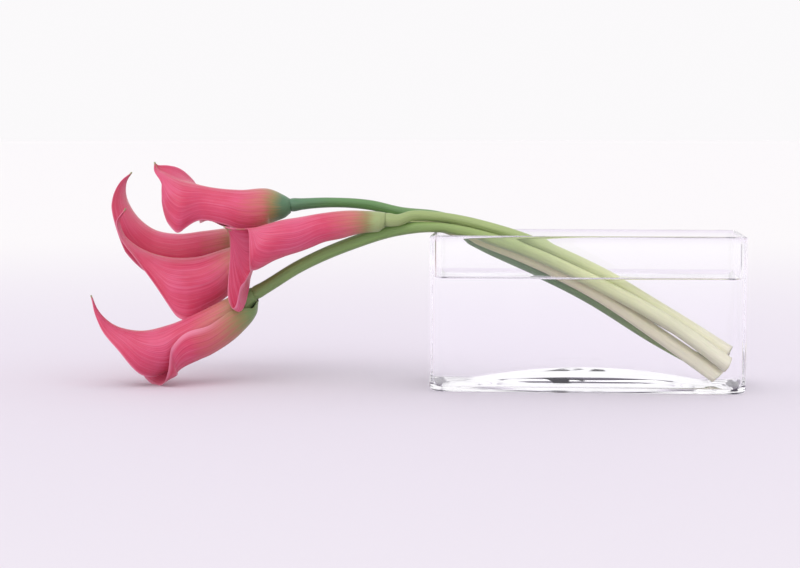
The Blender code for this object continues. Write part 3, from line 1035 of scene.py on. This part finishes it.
# ------------------------------------------------------------------ round stalks
def sweep(line: Array, radius: Array, sides: int, ripple: Callable[[Array, Array], Array]
          ) -> tuple[Array, Array]:
    """A tube along a line: centre + radius x ripple x (cos a side + sin a other).

    Side is -Y made square to the line, and other is square to both.

    Args:
        line: n x 3 centres.
        radius: n radii.
        sides: points round each ring.
        ripple: factor on the radius from (angle, share of length).

    Returns:
        The grid n x sides x 3 and the angles.
    """
    heading = unit(np.gradient(line, axis=0))
    side = square_to(heading)
    other = np.cross(heading, side)
    angle = np.linspace(0.0, TURN, sides, endpoint=False)
    share = np.linspace(0.0, 1.0, len(line))
    reach = (radius[:, None] * ripple(angle[None, :], share[:, None]))[..., None]
    outward = np.cos(angle)[:, None] * side[:, None] + np.sin(angle)[:, None] * other[:, None]
    return line[:, None] + reach * outward, angle


def tube_faces(rows: int, sides: int) -> tuple[list, list]:
    """Faces of a closed tube.

    Args:
        rows: number of rings.
        sides: points in each ring.

    Returns:
        The quads round it, and the two polygons that close its ends.
    """
    index = np.arange(rows * sides).reshape(rows, sides)
    index = np.concatenate([index, index[:, :1]], axis=1)
    ends = [index[0, :-1][::-1].tolist(), index[-1, :-1].tolist()]
    return grid_faces(index).tolist(), ends


@dataclass(frozen=True)
class StemPath:
    """A stem's points outside the vase, then its slot in the bundle at each of BUNDLE."""

    outside: tuple                   # from the middle of the -X rim's crest
    slots: tuple
    cut: float                       # how far its end lies beyond its last slot
    girth: float = 1.0               # factor on its radius outside the vase


STEMS = {
    1: StemPath(((-71, 5, 19), (-44, 6, 17.3), (-24, 5, 12.9)),
                ((0.5, 0.87), (1.0, 0.25), (0.95, 0.3), (1.05, 0.35), (1.07, 0.52)), -1.0),
    2: StemPath(((-72, 23, 7.3), (-38, 14.5, 7), (-18, 9.5, 5.5)),
                ((1.0, 0.0), (0.93, -0.85), (0.9, -0.83), (0.9, -0.85), (0.85, -0.49)), 1.0),
    3: StemPath(((-77, 0, 1), (-44, 1, 3.7), (-20, -1, 4)),
                ((0.0, 0.0), (0.0, -0.4), (0.0, -0.35), (-0.1, -0.56), (-0.27, -0.72)), 1.0),
    4: StemPath(((-15, -12.5, 11.2),),
                ((-0.7, 0.87), (0.0, 0.8), (0.0, 0.94), (0.1, 0.82), (0.05, 0.74)), -3.0),
    5: StemPath(((-89, -16, -22.2), (-56, -14, -7.5), (-25, -11.5, 2)),
                ((-1.25, 0.0), (-0.95, 0.1), (-0.8, 0.31), (-0.88, 0.47), (-0.9, 0.21)), 0.0,
                girth=1.25),
}

# Share of the vase's length, depth in mm, share of the way up from the bundle's foot to the
# rim, and slope in degrees of its middle line; the first point lies on the rim itself.
BUNDLE = ((0.01, -3.0, None, 4.0), (0.22, -7.0, 0.93, 17.0), (0.525, -8.0, 0.602, 29.0),
          (0.75, -7.0, 0.29, 34.0), (0.945, -5.0, 0.0, 38.0))

# The cut face: share of the last ring's radius, and how far it lies inside that ring, in mm.
CUT_RINGS = ((0.96, -0.08), (0.88, -0.05), (0.7, 0.25), (0.4, 0.5), (0.12, 0.6))

SHADED_GREEN = (0.120, 0.240, 0.090)
LEAF = (0.170, 0.290, 0.090)
OLIVE = (0.360, 0.450, 0.170)
PALE = (0.700, 0.740, 0.400)
CREAM = (0.930, 0.890, 0.720)

# Colour of each spathe at its joint.
BASE_GREENS = {1: (0.095, 0.205, 0.110), 2: (0.150, 0.260, 0.085), 3: (0.360, 0.380, 0.190),
               4: (0.330, 0.400, 0.175), 5: (0.175, 0.265, 0.090)}

# Colours of each stem at shares of its length, from the joint to the cut.
STEM_COLOURS = {
    1: ((0.0, (0.085, 0.200, 0.120)), (0.10, (0.100, 0.240, 0.085)), (0.42, LEAF), (0.68, PALE),
        (1.0, CREAM)),
    # painted shade: stem 2 turns dark green along its stretch at the back and low in the bundle,
    # where the other stems shade it
    2: ((0.0, LEAF), (0.35, LEAF), (0.6, SHADED_GREEN), (0.85, (0.22, 0.32, 0.11)), (1.0, OLIVE)),
    3: ((0.0, (0.42, 0.40, 0.24)), (0.12, OLIVE), (0.45, (0.62, 0.62, 0.33)),
        (0.65, (0.85, 0.78, 0.54)), (1.0, CREAM)),
    4: ((0.0, (0.33, 0.40, 0.175)), (0.1, (0.32, 0.41, 0.16)), (0.4, (0.38, 0.47, 0.20)),
        (0.66, PALE), (1.0, CREAM)),
    5: ((0.0, (0.18, 0.27, 0.09)), (0.3, (0.19, 0.31, 0.09)), (0.55, OLIVE), (0.70, PALE),
        (1.0, CREAM)),
}


@dataclass
class Stem:
    """One fleshy stem, from inside its bloom's collar to its slanting cut."""

    number: int
    spathe: Spathe
    vase_size: Array
    joint_radius: float = 4.45
    rim_radius: float = 3.4
    cut_radius: float = 5.2
    gap: float = 0.4
    bundle_gap: float = 0.95
    floor: float = 3.0               # glass under the water at the foot of the walls
    clearance: float = 1.2           # under the lowest cut end
    drop: float = 0.95               # stem pitches from the bundle's middle to its lowest edge
    lead: float = 8.0                # straight run in front of the bloom
    shoulder: float = 0.8            # from the bloom's base back to full girth
    reach: float = 2.5               # how far it runs on into the bloom
    taper: float = 0.9               # how much thinner it is at that end
    groove_depth: float = 0.018      # depths are shares of the radius
    grooves: int = 5
    groove_twist: float = 3.0        # radians that the grooves turn along the stem
    ridge_depth: float = 0.010
    ridges: int = 11
    swell_depth: float = 0.015
    swell_rate: float = 23.0         # radians of the slow swelling along the stem
    slimness: float = 0.985          # of the skin against the plain round
    slant: float = 0.22              # fall across the cut end, as a share of its radius
    cut_start: float = 0.97          # share of the length past which the end is slanted
    rows: int = 260
    sides: int = 48

    def radii(self) -> Array:
        """Stem radius at each point of the bundle."""
        return np.linspace(self.rim_radius, self.cut_radius, len(BUNDLE))

    def bundle_point(self, index: int, slot: Sequence[float]) -> Array:
        """Where the stem passes one point of the bundle.

        Args:
            index: which point of BUNDLE.
            slot: places to the back and up from the bundle's middle, in stem pitches.

        Returns:
            The point.
        """
        length_share, depth, height_share, slope = BUNDLE[index]
        pitch = 2 * self.radii()[index] + self.bundle_gap
        tilt = math.radians(slope)
        up = np.array([math.sin(tilt), 0.0, math.cos(tilt)])
        length, _, height = self.vase_size
        foot = (self.floor + self.clearance
                + self.drop * (2 * self.cut_radius + self.bundle_gap))
        if height_share is None:
            level = height + self.gap + self.rim_radius
        else:
            level = foot + height_share * (height - foot)
        middle = np.array([(length_share - 0.5) * length, depth, level])
        return middle + pitch * (slot[0] * BACKWARDS + slot[1] * up)

    def knots(self) -> Array:
        """Knots of the middle line.

        Returns:
            Rows of x, y, z and radius, from inside the bloom to the cut.
        """
        path = STEMS[self.number]
        base, heading = self.spathe.joint()
        points = [base + heading * self.reach, base - heading * self.shoulder,
                  base - heading * self.lead]
        points += list(np.asarray(path.outside, float) + self.spathe.rim)
        points += [self.bundle_point(i, slot) for i, slot in enumerate(path.slots)]
        points[-1] = points[-1] + path.cut * unit(points[-1] - points[-2])
        run = self.rim_radius * path.girth
        neck = (self.joint_radius + run) / 2
        radii = [self.joint_radius - self.taper, self.joint_radius, neck]
        radii += [run] * len(path.outside)
        radii += list(self.radii())
        return np.column_stack([points, radii])

    def ripple(self, angle: Array, share: Array) -> Array:
        """Grooves and slow swellings as a factor on the radius.

        slimness + groove depth x cos(grooves x a + twist x s + p) + ridge depth x
        cos(ridges x a) + swell depth x sin(rate x s + p), with p the stem's own phase; all
        but the first fade out at the joint.

        Args:
            angle: round the stem.
            share: of the length, from the joint.

        Returns:
            The factor.
        """
        turned = self.grooves * angle + self.groove_twist * share + self.phase
        grooves = self.groove_depth * np.cos(turned) + self.ridge_depth * np.cos(self.ridges * angle)
        slow = self.swell_depth * np.sin(self.swell_rate * share + self.phase)
        return self.slimness + (grooves + slow) * ease(0.0, 0.08, share)

    @property
    def phase(self) -> float:
        """An angle that sets this stem's grooves and cut apart from the others'."""
        return 1.7 * self.number

    def cut(self, grid: Array, angle: Array, radius: float) -> Array:
        """The skin with its last rings slanted, and the hollowed face of the cut.

        Args:
            grid: rings x sides x 3.
            angle: of each side.
            radius: of the last ring.

        Returns:
            The grid with the rings of CUT_RINGS added.
        """
        heading = unit((grid[-1] - grid[-2]).mean(axis=0))
        back = ease(self.cut_start, 1.0, np.linspace(0.0, 1.0, len(grid)))[:, None]
        fall = self.slant * radius * (1 + np.cos(angle + self.phase))
        grid = grid - (back * fall[None, :])[..., None] * heading
        middle = grid[-1].mean(axis=0)
        face = [middle + (grid[-1] - middle) * share - heading * sink
                for share, sink in CUT_RINGS]
        return np.concatenate([grid, np.stack(face)])

    def build(self, shop: Workshop) -> bpy.types.Object:
        """The stem with shallow grooves round it and a hollowed, slanting cut end.

        Args:
            shop: where it is put.

        Returns:
            The piece.
        """
        share = np.linspace(0.0, 1.0, self.rows + 1)
        knots = along(self.knots(), share)
        skin, angle = sweep(knots[:, :3], knots[:, 3], self.sides, self.ripple)
        grid = self.cut(skin, angle, knots[-1, 3])
        face = len(grid) - len(skin)
        faces, ends = tube_faces(len(grid), self.sides)
        down, around = np.meshgrid(np.concatenate([share, np.ones(face)]),
                                   np.arange(self.sides) / self.sides, indexing="ij")
        cut_face = np.repeat([0.0, 1.0], [len(skin) * self.sides, face * self.sides])
        piece = shop.mesh(f"stem_{self.number}_skin", grid.reshape(-1, 3), faces + ends,
                          np.stack([around, down], axis=-1).reshape(-1, 2),
                          {"cut_face": cut_face})
        finish = StemFinish(STEM_COLOURS[self.number])
        piece.data.materials.append(finish.build(f"stem_{self.number}"))
        deliver(piece, f"stem_{self.number}", "stem")
        return piece


@dataclass
class Spadix:
    """The finger of tiny florets that stands in a bloom."""

    number: int
    spathe: Spathe
    radius: float = 2.05
    lead: float = 5.0                # straight run from the bloom's base
    start: float = 0.054             # share of the line left free for the stem's end
    reach: float = 0.5               # share of the midrib's length
    narrowing: float = 0.35          # share of the radius lost towards the end
    bump: float = 0.07               # height of a floret as a share of the radius
    florets_round: int = 10
    lattice: float = 60.0            # radians of the lattice along the finger
    least: float = 0.02              # share of it left at the blunt end
    rows: int = 150
    sides: int = 40

    def ripple(self, angle: Array, share: Array) -> Array:
        """A lattice of florets: 0.94 + bump |cos(n a / 2 + k s) cos(n a / 2 - k s)|.

        n is the number of florets round the finger and k the lattice's rate along it.

        Args:
            angle: round the finger.
            share: of its length.

        Returns:
            The factor on the radius.
        """
        turned = self.florets_round / 2 * angle
        rise = self.lattice * share
        return 0.94 + self.bump * np.abs(np.cos(turned + rise) * np.cos(turned - rise))

    def build(self, shop: Workshop) -> bpy.types.Object:
        """A finger of radius sqrt(1 - s^8) (1 - narrowing s), bumpy with florets.

        Args:
            shop: where it is put.

        Returns:
            The piece.
        """
        base, heading = self.spathe.joint()
        places = self.reach * np.array([0.5, 0.75, 1.0])
        knots = [base, base + heading * self.lead,
                 *self.spathe.tube_centre(places, self.spathe.lap)]
        share = np.linspace(0.0, 1.0, self.rows + 1)
        line = along(knots, self.start + share * (1 - self.start))
        taper = np.sqrt(np.clip(1 - share**8, self.least**2, 1.0)) * (1 - self.narrowing * share)
        grid, _ = sweep(line, self.radius * taper, self.sides, self.ripple)
        faces, ends = tube_faces(len(grid), self.sides)
        piece = shop.mesh(f"spadix_{self.number}_finger", grid.reshape(-1, 3), faces + ends)
        piece.data.materials.append(SpadixFinish().build(f"spadix_{self.number}"))
        deliver(piece, f"spadix_{self.number}", "spadix")
        return piece


# ------------------------------------------------------------------ vase and water
def loft(name: str, shop: Workshop, rings: list[Array], change: int) -> bpy.types.Object:
    """A closed body through rings, with its second finish from one ring on.

    Args:
        name: the piece's name.
        shop: where it is put.
        rings: the rings, each with as many points as the first.
        change: number of the ring from which the second finish is used.

    Returns:
        The piece, whose two finishes are still to be added.
    """
    count = len(rings[0])
    faces, ends = tube_faces(len(rings), count)
    piece = shop.mesh(name, np.concatenate(rings), faces + ends)
    second = np.arange(len(faces) + len(ends)) >= change * count
    second[len(faces)] = False
    piece.data.polygons.foreach_set("material_index", second.astype(np.int32))
    return piece


FOOT_SHARES = (0.66, 0.33)           # rings on the flat foot, as shares of its breadth
IN, OUT, DOWN = 0, 180, 270          # directions on an arc of the wall's section, in degrees


@dataclass
class Vase:
    """The low oblong vase: one loft of rounded rings from the punt, over the rim, to the floor."""

    size: Array
    wall: float = 4.0
    corner: float = 9.0
    least_corner: float = 1.5
    heel: float = 3.0                # round edge between wall and foot
    floor: float = 3.0               # glass under the water at the foot of the walls
    fillet: float = 4.0
    dome: float = 10.0               # rise of the floor in the middle
    dome_end: float = 16.0           # flat floor left at each end of the dome
    punt: float = 5.0                # rise of the hollow underneath
    foot: float = 5.0                # breadth of the flat ring it stands on
    seam: float = 0.03               # half breadth of the innermost ring
    water_level: float = 73.2
    meniscus: float = 1.6            # rise of the water at the wall
    creep: float = 1.6               # how far the meniscus runs out from the wall
    corner_steps: int = 10
    long_steps: int = 56
    short_steps: int = 22
    hollow_steps: int = 26           # rings over the punt, and over the floor
    wall_steps: int = 25             # up the outside
    dry_steps: int = 8               # down the inside to the water
    wet_steps: int = 18              # on down to the floor's fillet
    fillet_steps: int = 10
    rim_steps: int = 16

    @property
    def middle(self) -> float:
        """Inset of the innermost ring."""
        return self.size[1] / 2 - self.seam

    def outline(self, inset: float) -> Array:
        """The rounded outline, moved in: corner arcs joined by even straight runs.

        Args:
            inset: how far it is moved in.

        Returns:
            One (x, y) row for each point.
        """
        half = self.size[:2] / 2 - inset
        radius = min(max(self.corner - inset, self.least_corner), half[1])
        turn = np.linspace(0.0, TURN / 4, self.corner_steps + 1)
        arcs = []
        for quarter, signs in enumerate(((1, 1), (-1, 1), (-1, -1), (1, -1))):
            angle = turn + quarter * TURN / 4
            centre = np.array(signs) * (half - radius)
            arcs.append(centre + radius * np.stack([np.cos(angle), np.sin(angle)], axis=1))
        pieces = []
        for quarter in range(4):
            first, second = arcs[quarter][-1], arcs[(quarter + 1) % 4][0]
            steps = self.long_steps if quarter % 2 == 0 else self.short_steps
            share = np.linspace(0.0, 1.0, steps + 1)[1:-1, None]
            pieces += [arcs[quarter], first + (second - first) * share]
        return np.concatenate(pieces)

    def ring(self, inset: float, height: float | Callable[[Array, Array], Array]) -> Array:
        """One ring of the loft.

        Args:
            inset: how far inside the outline it runs.
            height: its height, or a surface height(x, y) on which it lies.

        Returns:
            One point for each row.
        """
        xy = self.outline(inset)
        z = height(xy[:, 0], xy[:, 1]) if callable(height) else np.full(len(xy), float(height))
        return np.column_stack([xy, z])

    @staticmethod
    def swell(x: Array, y: Array, half_x: float, half_y: float) -> Array:
        """A low pillow: (1 - (x / half_x)^2) sqrt(1 - (y / half_y)^2).

        Args:
            x: distance from its middle along the vase.
            y: distance from its middle across the vase.
            half_x: where it ends along the vase.
            half_y: where it ends across the vase.

        Returns:
            Its height, 1 in the middle.
        """
        return (np.clip(1 - (x / half_x) ** 2, 0.0, 1.0)
                * np.sqrt(np.clip(1 - (y / half_y) ** 2, 0.0, 1.0)))

    def floor_height(self, x: Array, y: Array) -> Array:
        """Height of the floor inside the vase."""
        half = self.size[:2] / 2 - self.wall - np.array([self.dome_end, self.fillet])
        return self.floor + self.dome * self.swell(x, y, *half)

    def punt_height(self, x: Array, y: Array) -> Array:
        """Height of the hollow under the vase."""
        half = self.size[:2] / 2 - self.heel - self.foot
        return self.punt * self.swell(x, y, *half)

    @staticmethod
    def arc(inset: float, height: float, radius: float, start: float, end: float,
            steps: int) -> list[tuple[float, float]]:
        """An arc in a section of the wall; zero degrees points inwards, ninety up.

        Args:
            inset: of its centre.
            height: of its centre.
            radius: of the arc.
            start: first angle in degrees.
            end: last angle in degrees.
            steps: number of steps between them.

        Returns:
            Pairs of (inset, height).
        """
        turn = np.radians(np.linspace(start, end, steps + 1))
        return list(zip(inset + radius * np.cos(turn), height + radius * np.sin(turn)))

    def inner_wall(self, low: float, high: float, steps: int) -> list[tuple[float, float]]:
        """(inset, height) points up the inside of the wall."""
        return [(self.wall, z) for z in np.linspace(low, high, steps + 1)]

    def rings(self) -> tuple[list[Array], int]:
        """All rings from the middle of the punt to the middle of the floor.

        Returns:
            The rings, and the number of the ring where the water meets the glass.
        """
        height = self.size[2]
        ring_end = self.heel + self.foot
        rings = [self.ring(i, self.punt_height)
                 for i in np.linspace(self.middle, ring_end, self.hollow_steps + 1)]
        rings += [self.ring(self.heel + self.foot * share, 0.0) for share in FOOT_SHARES]
        heel = self.arc(self.heel, self.heel, self.heel, DOWN, OUT, self.fillet_steps)
        rings += [self.ring(i, z) for i, z in heel]
        top = height - self.wall / 2
        outside = np.linspace(self.heel, top, self.wall_steps + 1)
        rings += [self.ring(0.0, z) for z in outside[1:-1]]
        rim = self.arc(self.wall / 2, top, self.wall / 2, OUT, IN, self.rim_steps)
        rings += [self.ring(i, z) for i, z in rim]
        contact = self.water_level + self.meniscus
        dry = self.inner_wall(top, contact, self.dry_steps)
        rings += [self.ring(i, z) for i, z in dry[1:]]
        meeting = len(rings) - 1
        low = self.floor + self.fillet
        wet = self.inner_wall(contact, low, self.wet_steps)
        rings += [self.ring(i, z) for i, z in wet[1:-1]]
        inner = self.wall + self.fillet
        fillet = self.arc(inner, low, self.fillet, OUT, DOWN, self.fillet_steps)
        rings += [self.ring(i, z) for i, z in fillet]
        rings += [self.ring(i, self.floor_height)
                  for i in np.linspace(inner, self.middle, self.hollow_steps + 1)[1:]]
        return rings, meeting

    def build(self, shop: Workshop) -> bpy.types.Object:
        """The glass, whose wetted faces bend light less than its dry ones.

        Args:
            shop: where it is put.

        Returns:
            The piece.
        """
        rings, meeting = self.rings()
        piece = loft("vase_glass", shop, rings, meeting)
        for face in (Face.GLASS_IN_AIR, Face.GLASS_IN_WATER):
            piece.data.materials.append(ClearFinish(face).build(face.name.lower()))
        deliver(piece, "vase", "glass")
        return piece


@dataclass
class Water:
    """The water in the vase, its surface creeping up the glass."""

    vase: Vase
    clear: float = 0.15              # the unseen sides stay this far inside the glass
    overlap: float = 0.06            # how far the surface runs into the glass
    rim_run: float = 12.0            # breadth of the fine rings by the wall
    floor_rings: int = 20
    fillet_steps: int = 8
    fine_rings: int = 22
    coarse_rings: int = 12
    waves: float = 14.0              # slow waves in a metre
    wave_depth: float = 0.00002

    def surface(self, inset: float) -> float:
        """Height of the surface: level + rise x exp(-distance from the wall / creep)."""
        away = max(inset - self.vase.wall, 0.0)
        return self.vase.water_level + self.vase.meniscus * math.exp(-away / self.vase.creep)

    def surface_insets(self) -> Array:
        """Insets of the surface's rings.

        Returns:
            The insets, closest together by the wall.
        """
        wall = self.vase.wall
        fine = np.geomspace(self.clear, self.rim_run, self.fine_rings)
        coarse = np.linspace(wall + self.rim_run + 2.0, self.vase.middle, self.coarse_rings)
        return np.concatenate([[wall - self.overlap, wall], wall + fine, coarse])

    def build(self, shop: Workshop) -> bpy.types.Object:
        """A closed body: the floor and sides, then the surface in to the middle.

        Args:
            shop: where it is put.

        Returns:
            The piece.
        """
        vase = self.vase
        inner = vase.wall + vase.fillet + self.clear
        rings = [vase.ring(i, lambda x, y: vase.floor_height(x, y) + self.clear)
                 for i in np.linspace(vase.middle, inner, self.floor_rings)]
        fillet = vase.arc(inner, vase.floor + vase.fillet + self.clear, vase.fillet, DOWN, OUT,
                          self.fillet_steps)
        rings += [vase.ring(i, z) for i, z in fillet[1:]]
        rings.append(vase.ring(vase.wall + self.clear, vase.water_level))
        sides = len(rings)
        rings += [vase.ring(i, self.surface(i)) for i in self.surface_insets()]
        piece = loft("water_body", shop, rings, sides)
        top = ClearFinish(Face.WATER_IN_AIR, wave=self.waves, wave_depth=self.wave_depth)
        piece.data.materials.append(UnseenFinish().build("water_sides"))
        piece.data.materials.append(top.build("water_top"))
        deliver(piece, "water", "water")
        return piece


# ------------------------------------------------------------------ studio
@dataclass(frozen=True)
class CardFinish:
    """Matt grey card."""

    light: Colour = (0.46, 0.45, 0.50)
    dark: Colour = (0.42, 0.41, 0.46)
    clouds: float = 5.0              # in a metre

    def build(self, name: str) -> bpy.types.Material:
        """The finish as a material.

        Args:
            name: the material's name.

        Returns:
            The material.
        """
        g = Graph(name)
        cloud = g.noise(g.place(), self.clouds)
        return g.finish(g.principled({
            "Base Color": g.mix(cloud, self.dark, self.light), "Roughness": 0.9,
            "Specular IOR Level": 0.0}))


@dataclass
class Studio:
    """Plain table, soft light and the camera.  Distances are in metres, angles in degrees."""

    shop: Workshop
    table_rings: tuple = (0.3, 1.0, 3.0, 14.0)
    table_sides: int = 96
    cards_at: tuple = (("card_left", -1.1), ("card_right", 1.2))
    card_middle: float = 0.1         # how far behind the row's origin their middles stand
    card_breadth: float = 0.7
    card_height: float = 0.9
    camera_from_foot: tuple = (-0.025, -1.268, 0.177)
    pitch: float = -4.96
    yaw: float = 4.45
    lens: float = 86.2
    sensor: float = 36.0
    sky: Colour = (0.962, 0.950, 0.962)
    sky_strength: float = 1.0
    lamp: float = 0.9
    lamp_colour: Colour = (1.0, 0.985, 0.98)
    lamp_spread: float = 50.0
    lamp_turn: tuple = (38.0, -22.0, 0.0)
    bounces: int = 40                # light crosses many glass faces along the walls

    def table(self) -> None:
        """A wide disc at the foot of the object."""
        angle = np.linspace(0.0, TURN, self.table_sides, endpoint=False)
        circle = np.stack([np.cos(angle), np.sin(angle), 0 * angle], axis=1)
        rings = np.array(self.table_rings)[:, None, None] * circle
        faces, ends = tube_faces(len(self.table_rings), self.table_sides)
        mesh = bpy.data.meshes.new("table_top")
        mesh.from_pydata(rings.reshape(-1, 3).tolist(), [],
                         [face[::-1] for face in faces + ends[:1]])
        mesh.materials.append(TableFinish().build("table"))
        show("table_top", mesh)

    def cards(self) -> None:
        """Grey cards beside the set that draw the edges of the glass, unseen themselves."""
        finish = CardFinish().build("card")
        for name, x in self.cards_at:
            front = self.card_middle - self.card_breadth / 2
            back = self.card_middle + self.card_breadth / 2
            mesh = bpy.data.meshes.new(name)
            mesh.from_pydata([(x, front, 0.0), (x, back, 0.0), (x, back, self.card_height),
                              (x, front, self.card_height)], [], [(0, 1, 2, 3)])
            mesh.materials.append(finish)
            card = show(name, mesh)
            card.visible_camera = False
            card.visible_shadow = False
            card.visible_diffuse = False

    def light(self) -> None:
        """An even pale surround and one very broad lamp from above left."""
        world = bpy.data.worlds.new("surround")
        world.use_nodes = True
        background = world.node_tree.nodes["Background"]
        background.inputs["Color"].default_value = (*self.sky, 1.0)
        background.inputs["Strength"].default_value = self.sky_strength
        bpy.context.scene.world = world
        lamp = bpy.data.lights.new("broad_lamp", "SUN")
        lamp.energy = self.lamp
        lamp.angle = math.radians(self.lamp_spread)
        lamp.color = self.lamp_colour
        broad = bpy.data.objects.new("broad_lamp", lamp)
        broad.rotation_euler = [math.radians(turn) for turn in self.lamp_turn]
        bpy.context.scene.collection.objects.link(broad)

    def camera(self) -> None:
        """A long lens a little above the table."""
        data = bpy.data.cameras.new("camera")
        data.lens = self.lens
        data.sensor_width = self.sensor
        camera = bpy.data.objects.new("camera", data)
        camera.location = self.shop.origin + np.array(self.camera_from_foot)
        camera.rotation_euler = (math.radians(90 + self.pitch), 0.0, math.radians(self.yaw))
        bpy.context.scene.collection.objects.link(camera)
        bpy.context.scene.camera = camera

    def build(self) -> None:
        """Everything round the object."""
        self.table()
        self.cards()
        self.light()
        self.camera()
        scene = bpy.context.scene
        scene.view_settings.view_transform = "Standard"
        scene.cycles.max_bounces = self.bounces
        scene.cycles.transmission_bounces = self.bounces
        scene.cycles.glossy_bounces = self.bounces
        scene.cycles.transparent_max_bounces = self.bounces


def main() -> None:
    """Build the vase, the water and the five flowers, then the studio."""
    logging.basicConfig(level=logging.INFO, format="%(message)s")
    shop = Workshop.at_vase()
    vase = Vase(shop.size)
    vase.build(shop)
    Water(vase).build(shop)
    rim = np.array([-shop.size[0] / 2 + vase.wall / 2, 0.0, shop.size[2]])
    for number in BLOOMS:
        spathe = Spathe(number, rim)
        spathe.build(shop, SpatheFinish(green=BASE_GREENS[number]))
        Stem(number, spathe, shop.size).build(shop)
        Spadix(number, spathe).build(shop)
    Studio(shop).build()


if __name__ == "__main__":
    main()
